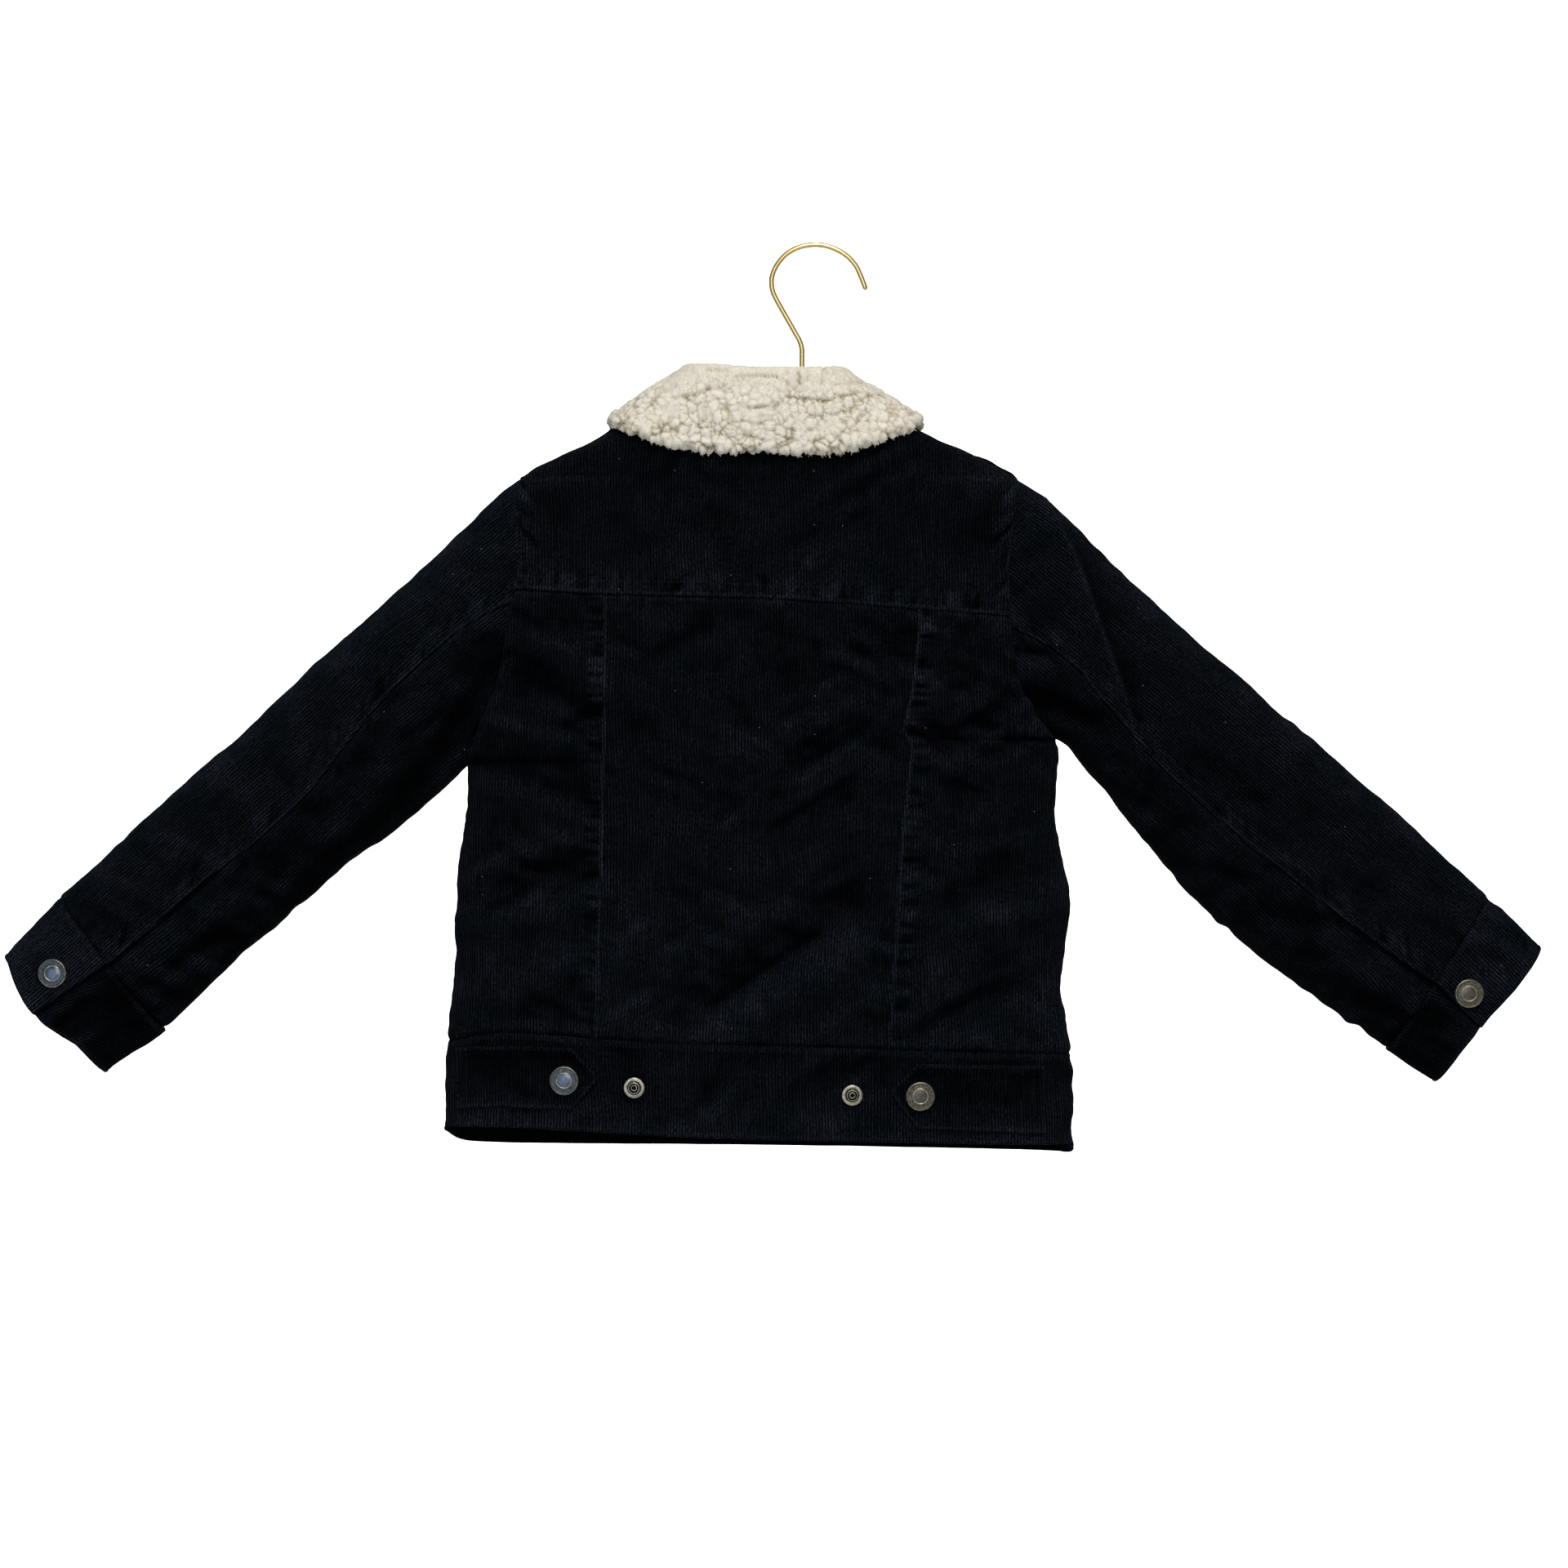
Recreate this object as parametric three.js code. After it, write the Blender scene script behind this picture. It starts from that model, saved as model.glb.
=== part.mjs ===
// Child's corduroy jacket with a sherpa collar, hanging on a wire hanger.
// Millimetres, +Z up. The origin is the inside top of the hook, where a rail carries it.
// +X is the wearer's right and +Y is the garment's front, so a viewer at -Y sees its back.

import * as THREE from "three";

// Driving sizes
const SEAM_GAP = 0.3;
const ARMHOLE_GAP = 0.95; // the armhole seams curve, so their straight facets need more room
const BODY_WALL = 4; // corduroy with the sherpa behind it
const SLEEVE_WALL = 3;
const CUFF_WALL = 3.4;
const BODY_ROUND = 2.8; // power of the flattened body section
const SLEEVE_ROUND = 2.4; // power of the flattened sleeve section
const ARMHOLE_DEPTH = 18; // half of the armhole's width, front to back
const SHOULDER_TIP_Z = -135; // top of both armhole seams
const ARMPIT_Z = { left: -300, right: -287 };
const NECK_SIDE_Z = -90.5;
const NECK_BACK_Z = -95;
const NECK_FRONT_Z = -135;
const CHEST_Z = -173; // centre front at the row that starts at the top of the armholes
const FRONT_SEAM_SHARE = 0.72; // where the sleeve's front seam lies, from its top edge to its under edge
const COLLAR_THICK = 7;
const COLLAR_FOLD = 4.3; // radius of the collar's fold, to the middle of its thickness
const COLLAR_BULGE = 2.2; // how far the fall rounds out between its fold and its edge
const COLLAR_STAND_FOOT = 3; // upright part of the collar's stand, on the neckline
const COLLAR_FRONT_GAP = 2.2; // above the curved front neckline, whose facets need more room
const COLLAR_CLEAR = 1.2;
const STRIP_GAP = 0.5; // between the body and what lies on it
const PLACKET_TOP_Z = -142;
const PLACKET_WIDTH = 36;
const PLACKET_THICK = 1.6;
const TAB_THICK = 2.2;
const CAP_RADIUS = 8.5;
const STUD_RADIUS = 6.25;
const WIRE = 3.2;
const FRONT_CAP_HEIGHTS = [-186, -256, -326, -396];
const WAIST_CAP_Z = -492;

// A table's columns are named in its first row
function table(columns, ...rows) {
  return rows.map((row) => Object.fromEntries(columns.map((name, i) => [name, row[i]])));
}

// The body's outline, seen from the back, and how deep it is behind and in front
const BODY = table(
  ["z", "left", "right", "back", "front"],
  [-90, -91, 34, 21, 21],
  [-98, -105, 48, 22, 22],
  [-106, -119, 61, 22.5, 22.5],
  [-113, -131, 74, 23, 23],
  [-122, -153, 96, 23, 23],
  [-132, -170, 114, 23.5, 23.5],
  [-136, -173, 118.5, 23.5, 24],
  [-160, -171.5, 115.5, 24.5, 25],
  [-180, -171.5, 113, 25, 26],
  [-205, -174.5, 112.5, 26, 27],
  [-231, -180, 115.5, 27, 28],
  [-259, -187, 121, 27.5, 29],
  [-280, -196.5, 134, 28, 29],
  [-290, -200.5, 142.5, 28, 29],
  [-300, -202.4, 142.5, 28, 29],
  [-330, -204, 138.5, 28, 29],
  [-370, -209, 145.5, 27.5, 28.5],
  [-400, -210, 145, 27, 28],
  [-430, -210.5, 142, 26.5, 27.5],
  [-465, -214.5, 147.5, 25, 26],
  [-490, -215.5, 150, 24.5, 25.5],
  [-530, -216.5, 149, 24, 25],
);

// Seams and edges, as the points they pass through
const YOKE_SEAM = table(["x", "z"], [-172, -200], [-120, -203], [-28, -205.5], [59, -211.4], [112, -215.5]);
const BAND_SEAM = table(
  ["x", "z"],
  [-214, -462.5], [-184, -457], [-126, -460.5], [-82, -463], [-2, -465], [71, -467.6], [148, -470],
);
const BACK_HEM = table(["x", "z"], [-214, -512], [-184, -511], [-140, -513], [-53, -518], [60, -521], [147, -523]);
const FRONT_HEM = table(["x", "z"], [-216, -513], [-206, -518.5], [-155, -521.4], [-30, -522.6], [147, -525.5]);
const LEFT_BACK_SEAM = table(["z", "x"], [-204, -120.5], [-240, -120.3], [-332, -122], [-461, -125.8]);
const RIGHT_BACK_SEAM = table(["z", "x"], [-211, 59], [-291, 54.3], [-347, 50], [-411, 45.2], [-466, 41]);

// Sleeve sections from the armhole to the cuff seam. seam is the back seam's place across the section.
const SLEEVE_COLUMNS = ["topX", "topZ", "underX", "underZ", "seam", "depth"];
const SLEEVE = {
  left: table(
    SLEEVE_COLUMNS,
    [-172.8, -135, -202.4, -300, 0.43, 18],
    [-201, -160, -206, -304, 0.42, 18.5],
    [-232, -188.5, -212, -310.5, 0.41, 19],
    [-263, -217.6, -225, -322.5, 0.41, 19],
    [-295, -245.2, -247, -341, 0.47, 18.5],
    [-325, -274.3, -273, -361, 0.54, 18],
    [-352, -298.5, -300, -384, 0.55, 17.5],
    [-380, -322.5, -324, -404.5, 0.53, 17],
    [-405, -346.5, -346, -424, 0.52, 16.5],
    [-426, -366, -364.5, -442.5, 0.505, 16],
    [-441.5, -380, -380.5, -456.5, 0.495, 15],
  ),
  right: table(
    SLEEVE_COLUMNS,
    [118.3, -135, 143.2, -287, 0.57, 18],
    [149.5, -160, 147.8, -291.5, 0.61, 18.5],
    [176, -186, 153.5, -299, 0.64, 19],
    [204, -211.5, 165, -314, 0.65, 19],
    [232, -236.7, 184, -336.5, 0.66, 18.5],
    [260, -261, 204, -361, 0.635, 18],
    [290, -286.5, 228, -386, 0.62, 17.5],
    [320, -313, 256, -411, 0.6, 17],
    [350, -339, 286, -433, 0.595, 16.5],
    [375, -363, 313, -453, 0.575, 16],
    [393.5, -379.5, 334, -468, 0.56, 15],
  ),
};
const CUFF_END = {
  left: { topX: -474, topZ: -414, underX: -415, underZ: -482, seam: 0.42, depth: 14 },
  right: { topX: 426, topZ: -409, underX: 364, underZ: -488.6, seam: 0.6, depth: 14 },
};
// Where each cuff's cap is: its share of the way along the cuff and across it
const CUFF_CAP = { left: { along: 0.61, across: 0.31 }, right: { along: 0.475, across: 0.485 } };

// Tabs from their sewn end to their point, and the caps and studs beside them
const TAB = {
  left: table(
    ["x", "top", "bottom"],
    [-207, -466, -502], [-195, -465, -501], [-178, -465, -500.5],
    [-158, -465, -501.4], [-139.5, -465.5, -502], [-125, -481.5, -485],
  ),
  right: table(
    ["x", "top", "bottom"],
    [131.7, -476.4, -516.5], [108, -476, -515.3], [84, -475.4, -514.3], [58, -474.8, -513], [43, -490, -493.5],
  ),
};
const TAB_CAP = { left: { x: -143.5, z: -484.3 }, right: { x: 59.3, z: -493.3 } };
const STUD = { left: { x: -104.8, z: -488.6 }, right: { x: 21.4, z: -492.9 } };

// The largest folds: a soft ridge or, with a negative height, a trough from one point to another
const FOLD_COLUMNS = ["x0", "z0", "x1", "z1", "width", "height"];
const BACK_FOLDS = table(
  FOLD_COLUMNS,
  [-77, -451, 21, -383, 15, -5],
  [-174, -226, -119, -258, 13, 3],
  [-198, -378, -130, -360, 12, -3.5],
  [-175, -437, -145, -418, 12, 3],
  [84, -380, 124, -366, 12, -3.5],
  [81, -451, 119, -430, 12, -3.5],
  [86, -181, 110, -171, 14, -3],
);
const FRONT_FOLDS = table(
  FOLD_COLUMNS,
  [-170, -250, -110, -285, 14, -3.5],
  [-150, -430, -80, -380, 15, -4.5],
  [60, -400, 118, -370, 13, -3.5],
  [30, -262, 105, -230, 14, 3],
);
const SLEEVE_FOLDS = table(
  FOLD_COLUMNS,
  [-209, -262, -278, -342, 12, 3.5],
  [-290, -252, -288, -300, 11, -3],
  [-384, -332, -356, -351, 10, -2.5],
  [124, -240, 160, -262, 12, 3],
  [226, -300, 262, -330, 12, -2.5],
);

// Collar from the centre back (0) past the side of the neck (0.5) to the centre front (1), the same on both sides.
// foldX, foldY and foldZ place the top of its fold from the body's middle. Its lower edge lies on the body at the
// height edgeZ, edgeTurn degrees round from the middle of the back or front.
const COLLAR = table(
  ["t", "foldX", "foldY", "foldZ", "edgeTurn", "edgeZ"],
  [0, 0, 25, -71.5, 0, -118.5],
  [0.12, 18, 25, -71, 6, -119],
  [0.25, 34, 23.5, -70, 17.6, -117],
  [0.38, 46, 16, -69.5, 38, -111.5],
  [0.44, 49, 8.5, -70, 60, -108],
  [0.5, 50, 0, -71, 90, -105],
  [0.56, 50, 8.5, -75, 60, -110],
  [0.62, 49, 16, -79, 38, -121],
  [0.75, 42, 23.5, -88, 22, -148],
  [0.87, 26, 26.5, -102, 13, -171],
  [0.975, 8, 27.5, -119, 5.5, -160],
);
const COLLAR_STEPS = [0, 0.07, 0.14, 0.21, 0.28, 0.34, 0.39, 0.43, 0.465, 0.5, 0.535, 0.57, 0.62, 0.68, 0.74, 0.8, 0.86,
  0.92, 0.975];
const COLLAR_TILT = -0.03; // its top is lower towards the wearer's right
const NECK_MIDDLE_X = -28.5;

// Hook wire, from its tip over the top and down to the shoulder wire
const HOOK = table(
  ["x", "z"],
  [29.6, -24.3], [23.4, -10.4], [14.3, -1.8], [0.2, 1.6], [-14.3, -2.5], [-24, -14.8], [-24.7, -21.6],
  [-22.4, -29.6], [-14.9, -43.4], [-8.4, -55], [-7.6, -62], [-7.6, -74],
);
const STEM = { x: -7.6, bottom: -88 };
const ARM_HEIGHTS = [-110, -116, -121, -126]; // where the shoulder wire follows the inside of the shoulders

// Materials
const CORDUROY = { color: 0x17171b, roughness: 0.95, metalness: 0 };
const SHERPA = { color: 0xe6dec8, roughness: 1, metalness: 0 };
const SNAP = { color: 0x8a7c5c, roughness: 0.4, metalness: 0.9 };
const GOLD_WIRE = { color: 0xc9a95c, roughness: 0.3, metalness: 1 };

const jacket = new THREE.Group();

function mix(a, b, share) {
  return a + (b - a) * share;
}

// A smooth curve through one column of a table, looked up by another column in rising or falling order
function along(rows, key, column, at) {
  const falling = rows[rows.length - 1][key] < rows[0][key];
  let i = 0;
  while (i < rows.length - 2 && (falling ? at < rows[i + 1][key] : at > rows[i + 1][key])) i += 1;
  const slope = (k) => {
    const low = rows[Math.max(k - 1, 0)];
    const high = rows[Math.min(k + 1, rows.length - 1)];
    return (high[column] - low[column]) / (high[key] - low[key]);
  };
  const span = rows[i + 1][key] - rows[i][key];
  const t = THREE.MathUtils.clamp((at - rows[i][key]) / span, 0, 1);
  const rise = t * t * (3 - 2 * t);
  const leave = t * (1 - t) * (1 - t) * span * slope(i);
  const arrive = t * t * (1 - t) * span * slope(i + 1);
  return mix(rows[i][column], rows[i + 1][column], rise) + leave - arrive;
}

// A circle pressed flatter: power 2 is an ellipse, more is nearer to a box
function pressed(angle, power) {
  const push = (value) => Math.sign(value) * Math.abs(value) ** (2 / power);
  return { across: push(Math.cos(angle)), deep: push(Math.sin(angle)) };
}

// The angle at which a pressed circle has this much of its width
function pressedAngle(across, power) {
  const clipped = THREE.MathUtils.clamp(across, -1, 1);
  return Math.acos(Math.sign(clipped) * Math.abs(clipped) ** (power / 2));
}

function foldHeight(folds, x, z) {
  let height = 0;
  for (const fold of folds) {
    const runX = fold.x1 - fold.x0;
    const runZ = fold.z1 - fold.z0;
    const share = ((x - fold.x0) * runX + (z - fold.z0) * runZ) / (runX * runX + runZ * runZ);
    const t = THREE.MathUtils.clamp(share, 0, 1);
    const away = Math.hypot(x - fold.x0 - t * runX, z - fold.z0 - t * runZ) / fold.width;
    height += fold.height * Math.exp(-away * away);
  }
  return height;
}

// Half of the armhole's opening at a height, nothing above its top and below the armpit
function armholeHalf(side, z, inset) {
  const middle = (SHOULDER_TIP_Z + ARMPIT_Z[side]) / 2;
  const half = (SHOULDER_TIP_Z - ARMPIT_Z[side]) / 2 - inset;
  const t = Math.min(Math.abs(z - middle) / half, 1);
  return (ARMHOLE_DEPTH - inset) * (1 - t ** SLEEVE_ROUND) ** (1 / SLEEVE_ROUND);
}

// A point of the body. face is -1 for the back and 1 for the front, angle runs from 0 at the right side to PI at
// the left, and inset goes in from the outside of the cloth.
function bodyPoint(face, angle, z, inset) {
  const left = along(BODY, "z", "left", z);
  const right = along(BODY, "z", "right", z);
  const depth = along(BODY, "z", face < 0 ? "back" : "front", z) - inset;
  const { across, deep } = pressed(angle, BODY_ROUND);
  const side = across < 0 ? "left" : "right";
  const middle = (left + right) / 2;
  const half = (right - left) / 2;
  const open = armholeHalf(side, z, inset);
  const closed = 1 - open / (ARMHOLE_DEPTH - inset);
  const x = middle + across * (half - inset * closed);
  const fold = foldHeight(face < 0 ? BACK_FOLDS : FRONT_FOLDS, middle + across * half, z) * deep;
  const y = open + (depth - open) * deep + fold + SEAM_GAP / 2;
  return new THREE.Vector3(x, face * y, z);
}

function bodyAngle(x, z) {
  const left = along(BODY, "z", "left", z);
  const right = along(BODY, "z", "right", z);
  return pressedAngle((x - (left + right) / 2) / ((right - left) / 2), BODY_ROUND);
}

// A point on the body at a place seen from the back or front
function bodyAt(face, x, z, inset) {
  return bodyPoint(face, bodyAngle(x, z), z, inset);
}

function sleeveStation(side, at) {
  const rows = SLEEVE[side].map((row, i) => ({ ...row, i }));
  return Object.fromEntries(SLEEVE_COLUMNS.map((column) => [column, along(rows, "i", column, at)]));
}

// A point of a section: angle 0 is its top edge, a quarter turn the back, a half turn its under edge
function sectionPoint(section, angle, inset) {
  const { across, deep } = pressed(angle, SLEEVE_ROUND);
  const half = Math.hypot(section.topX - section.underX, section.topZ - section.underZ) / 2;
  const share = 0.5 - (0.5 * across * (half - inset)) / half;
  const x = mix(section.topX, section.underX, share);
  const z = mix(section.topZ, section.underZ, share);
  const fold = foldHeight(SLEEVE_FOLDS, x, z) * Math.max(deep, 0);
  return { point: new THREE.Vector3(x, -(section.depth - inset) * deep - fold, z), share };
}

// A point of a sleeve. Its first section bends to the armhole seam and stands a seam's gap outside it.
function sleevePoint(side, angle, at, inset) {
  const { point, share } = sectionPoint(sleeveStation(side, at), angle, inset);
  const first = SLEEVE[side][0];
  const chordX = mix(first.topX, first.underX, share);
  const chordZ = mix(first.topZ, first.underZ, share);
  const outward = side === "left" ? -1 : 1;
  const bend = along(BODY, "z", side, chordZ) - chordX + outward * ARMHOLE_GAP;
  const fade = Math.max(0, 1 - at / 1.6);
  point.x += bend * fade * fade;
  return point;
}

function evenly(count, from = 0, to = 1) {
  return Array.from({ length: count + 1 }, (_, i) => mix(from, to, i / count));
}

function addMesh(name, geometry, look) {
  const mesh = new THREE.Mesh(geometry, new THREE.MeshStandardMaterial({ ...look, side: THREE.FrontSide }));
  mesh.name = name;
  jacket.add(mesh);
  return mesh;
}

// A closed wall between two grids of points, the outer face and the inner one
function wall(name, us, vs, outer, inner, look) {
  const points = [];
  for (const face of [outer, inner]) {
    for (const v of vs) {
      for (const u of us) points.push(face(u, v));
    }
  }
  const columns = us.length;
  const rows = vs.length;
  const index = (face, u, v) => (face * rows + v) * columns + u;
  const triangles = [];
  const quad = (a, b, c, d) => triangles.push(a, b, c, a, c, d);
  for (let v = 0; v < rows - 1; v += 1) {
    for (let u = 0; u < columns - 1; u += 1) {
      quad(index(0, u, v), index(0, u + 1, v), index(0, u + 1, v + 1), index(0, u, v + 1));
      quad(index(1, u, v), index(1, u, v + 1), index(1, u + 1, v + 1), index(1, u + 1, v));
    }
  }
  for (let u = 0; u < columns - 1; u += 1) {
    quad(index(0, u, 0), index(1, u, 0), index(1, u + 1, 0), index(0, u + 1, 0));
    quad(index(0, u, rows - 1), index(0, u + 1, rows - 1), index(1, u + 1, rows - 1), index(1, u, rows - 1));
  }
  for (let v = 0; v < rows - 1; v += 1) {
    quad(index(0, 0, v), index(0, 0, v + 1), index(1, 0, v + 1), index(1, 0, v));
    quad(index(0, columns - 1, v), index(1, columns - 1, v), index(1, columns - 1, v + 1), index(0, columns - 1, v + 1));
  }
  let volume = 0;
  for (let i = 0; i < triangles.length; i += 3) {
    const [a, b, c] = triangles.slice(i, i + 3).map((k) => points[k]);
    volume += a.dot(b.clone().cross(c));
  }
  if (volume < 0) triangles.reverse();
  const geometry = new THREE.BufferGeometry();
  geometry.setAttribute("position", new THREE.Float32BufferAttribute(points.flatMap((p) => p.toArray()), 3));
  geometry.setIndex(triangles);
  geometry.computeVertexNormals();
  return addMesh(name, geometry, look);
}

// A height for a share v of the way down, through levels given as [share, height]
function heightAt(levels, v) {
  let i = 0;
  while (i < levels.length - 2 && v > levels[i + 1][0]) i += 1;
  const [[from, high], [to, low]] = [levels[i], levels[i + 1]];
  return mix(high, low, (v - from) / (to - from));
}

function bodyWall(name, face, us, vs, place) {
  const outer = (u, v) => bodyPoint(face, ...place(u, v), 0);
  const inner = (u, v) => bodyPoint(face, ...place(u, v), BODY_WALL);
  wall(name, us, vs, outer, inner, CORDUROY);
}

// Back yoke, from the neckline over the shoulders to the yoke seam
function makeYoke() {
  const shoulder = 0.5; // share of the rows that lie above the armholes
  bodyWall("back_yoke", -1, evenly(24), evenly(10), (u, v) => {
    const angle = Math.PI * (1 - u);
    const neck = mix(NECK_SIDE_Z, NECK_BACK_Z, Math.sin(angle));
    const seamX = bodyPoint(-1, angle, YOKE_SEAM[2].z, 0).x;
    const seam = along(YOKE_SEAM, "x", "z", seamX) + SEAM_GAP / 2;
    return [angle, heightAt([[0, neck], [shoulder, SHOULDER_TIP_Z], [1, seam]], v)];
  });
}

// The three lower back panels, between the yoke seam and the waistband seam
function makeLowerBack() {
  const armpitRow = 0.4;
  const heights = [YOKE_SEAM[2].z, ARMPIT_Z.left, BAND_SEAM[3].z];
  const rows = [...evenly(7, 0, armpitRow).slice(0, -1), ...evenly(8, armpitRow, 1)];
  const seamAngle = (seam, v, shift) => {
    const z = heightAt([[0, heights[0]], [armpitRow, heights[1]], [1, heights[2]]], v);
    return bodyAngle(along(seam, "z", "x", z) + shift, z);
  };
  const half = SEAM_GAP / 2;
  const leftX = along(BODY, "z", "left", ARMPIT_Z.left);
  const rightX = along(BODY, "z", "right", ARMPIT_Z.left);
  const edges = {
    back_side_left: [() => Math.PI, (v) => seamAngle(LEFT_BACK_SEAM, v, -half), 8],
    back_centre: [(v) => seamAngle(LEFT_BACK_SEAM, v, half), (v) => seamAngle(RIGHT_BACK_SEAM, v, -half), 10],
    back_side_right: [(v) => seamAngle(RIGHT_BACK_SEAM, v, half), () => 0, 8],
  };
  for (const [name, [leftEdge, rightEdge, columns]] of Object.entries(edges)) {
    bodyWall(name, -1, evenly(columns), rows, (u, v) => {
      const angle = mix(leftEdge(v), rightEdge(v), u);
      const x = bodyPoint(-1, angle, heights[1], 0).x;
      const top = along(YOKE_SEAM, "x", "z", bodyPoint(-1, angle, heights[0], 0).x) - half;
      const bottom = along(BAND_SEAM, "x", "z", bodyPoint(-1, angle, heights[2], 0).x) + half;
      const armpit = mix(ARMPIT_Z.left, ARMPIT_Z.right, THREE.MathUtils.clamp((x - leftX) / (rightX - leftX), 0, 1));
      return [angle, heightAt([[0, top], [armpitRow, armpit], [1, bottom]], v)];
    });
  }
}

// Plain fronts, from the neckline and the shoulders to the waistband
function makeFronts() {
  const shoulderRow = 0.22;
  const armpitRow = 0.56;
  const rows = [
    ...evenly(4, 0, shoulderRow).slice(0, -1),
    ...evenly(9, shoulderRow, armpitRow).slice(0, -1),
    ...evenly(6, armpitRow, 1),
  ];
  for (const side of ["left", "right"]) {
    const sideAngle = side === "left" ? Math.PI : 0;
    const centreAngle = bodyAngle(NECK_MIDDLE_X, ARMPIT_Z.left) + (side === "left" ? 1 : -1) * 0.001;
    bodyWall(`front_${side}`, 1, evenly(12), rows, (u, v) => {
      const angle = mix(sideAngle, centreAngle, u);
      const bandX = bodyPoint(1, angle, BAND_SEAM[3].z, 0).x;
      const sink = u * u; // how far the row has come down to its height at the centre front
      const bottom = along(BAND_SEAM, "x", "z", bandX) + SEAM_GAP / 2;
      const levels = [
        [0, mix(NECK_SIDE_Z, NECK_FRONT_Z, sink)],
        [shoulderRow, mix(SHOULDER_TIP_Z, CHEST_Z, sink)],
        [armpitRow, mix(ARMPIT_Z[side], ARMPIT_Z.left, sink)],
        [1, bottom],
      ];
      return [angle, heightAt(levels, v)];
    });
  }
}

function makeWaistband() {
  const overlap = PLACKET_WIDTH / 2;
  const endX = NECK_MIDDLE_X + overlap;
  const pieces = {
    waistband_back: { face: -1, from: Math.PI, to: 0, columns: 26, hem: BACK_HEM },
    waistband_front_left: { face: 1, from: Math.PI, to: endX - SEAM_GAP / 2, columns: 15, hem: FRONT_HEM },
    waistband_front_right: { face: 1, from: 0, to: endX + SEAM_GAP / 2, columns: 12, hem: FRONT_HEM },
  };
  for (const [name, piece] of Object.entries(pieces)) {
    const to = piece.to === 0 ? 0 : bodyAngle(piece.to, WAIST_CAP_Z);
    bodyWall(name, piece.face, evenly(piece.columns), evenly(3), (u, v) => {
      const angle = mix(piece.from, to, u);
      const { x } = bodyPoint(piece.face, angle, WAIST_CAP_Z, 0);
      const top = along(BAND_SEAM, "x", "z", x) - SEAM_GAP / 2;
      return [angle, mix(top, along(piece.hem, "x", "z", x), v)];
    });
  }
}

// A flat strip laid on the body, just clear of the cloth
function strip(name, face, us, vs, place, thick) {
  const outer = (u, v) => bodyAt(face, ...place(u, v), -STRIP_GAP - thick);
  const inner = (u, v) => bodyAt(face, ...place(u, v), -STRIP_GAP);
  wall(name, us, vs, outer, inner, CORDUROY);
}

function makePlacketAndTabs() {
  const top = PLACKET_TOP_Z;
  const bottom = along(BAND_SEAM, "x", "z", NECK_MIDDLE_X) + 1;
  const half = PLACKET_WIDTH / 2;
  const place = (u, v) => [NECK_MIDDLE_X + mix(-half, half, u), mix(top, bottom, v)];
  strip("front_band", 1, evenly(3), evenly(14), place, PLACKET_THICK);
  for (const side of ["left", "right"]) {
    const rows = TAB[side].map((row, i) => ({ ...row, i }));
    const tabPlace = (u, v) => {
      const at = u * (rows.length - 1);
      const i = Math.min(Math.floor(at), rows.length - 2);
      const column = (name) => mix(rows[i][name], rows[i + 1][name], at - i);
      return [column("x"), mix(column("top"), column("bottom"), v)];
    };
    strip(`tab_${side}`, -1, evenly(2 * (rows.length - 1)), evenly(3), tabPlace, TAB_THICK);
  }
}

function makeSleeves() {
  for (const side of ["left", "right"]) {
    const last = SLEEVE[side].length - 1;
    const stations = evenly(last + 3, 0, last);
    const nudge = 0.0017; // share of the width that is half a seam's gap
    const frontAngle = (shift) => -pressedAngle(1 - 2 * (FRONT_SEAM_SHARE + shift), SLEEVE_ROUND);
    const backAngle = (at, shift) => pressedAngle(1 - 2 * (sleeveStation(side, at).seam + shift), SLEEVE_ROUND);
    const pieces = {
      upper: [(at) => frontAngle(-nudge), (at) => backAngle(at, -nudge), 12],
      under: [(at) => backAngle(at, nudge), (at) => 2 * Math.PI + frontAngle(nudge), 10],
    };
    for (const [piece, [from, to, columns]] of Object.entries(pieces)) {
      const point = (inset) => (u, at) => sleevePoint(side, mix(from(at), to(at), u), at, inset);
      wall(`sleeve_${side}_${piece}`, evenly(columns), stations, point(0), point(SLEEVE_WALL), CORDUROY);
    }
  }
}

function cuffSection(side, share) {
  const start = SLEEVE[side][SLEEVE[side].length - 1];
  const end = CUFF_END[side];
  const length = Math.hypot(end.topX - start.topX, end.topZ - start.topZ);
  const t = mix(SEAM_GAP / length, 1, share);
  return Object.fromEntries(SLEEVE_COLUMNS.map((column) => [column, mix(start[column], end[column], t)]));
}

function makeCuffs() {
  for (const side of ["left", "right"]) {
    const nudge = 0.003;
    const point = (inset) => (u, share) => {
      const section = cuffSection(side, share);
      const from = pressedAngle(1 - 2 * (section.seam + nudge), SLEEVE_ROUND);
      const to = 2 * Math.PI + pressedAngle(1 - 2 * (section.seam - nudge), SLEEVE_ROUND);
      return sectionPoint(section, mix(from, to, u), inset).point;
    };
    wall(`cuff_${side}`, evenly(24), evenly(3), point(0), point(CUFF_WALL), CORDUROY);
  }
}

function collarRow(t) {
  const columns = ["foldX", "foldY", "foldZ", "edgeTurn", "edgeZ"];
  return Object.fromEntries(columns.map((column) => [column, along(COLLAR, "t", column, Math.abs(t))]));
}

// Where the neckline is on the body, share 0 at the centre back, 0.5 at the side and 1 at the centre front
function neckPlace(share, sign) {
  const face = share <= 0.5 ? -1 : 1;
  const turn = Math.abs(0.5 - share) * Math.PI;
  const angle = sign > 0 ? turn : Math.PI - turn;
  const sink = (2 * share - 1) ** 2;
  const z = face < 0 ? mix(NECK_SIDE_Z, NECK_BACK_Z, Math.sin(angle)) : mix(NECK_SIDE_Z, NECK_FRONT_Z, sink);
  return [face, angle, z];
}

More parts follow.
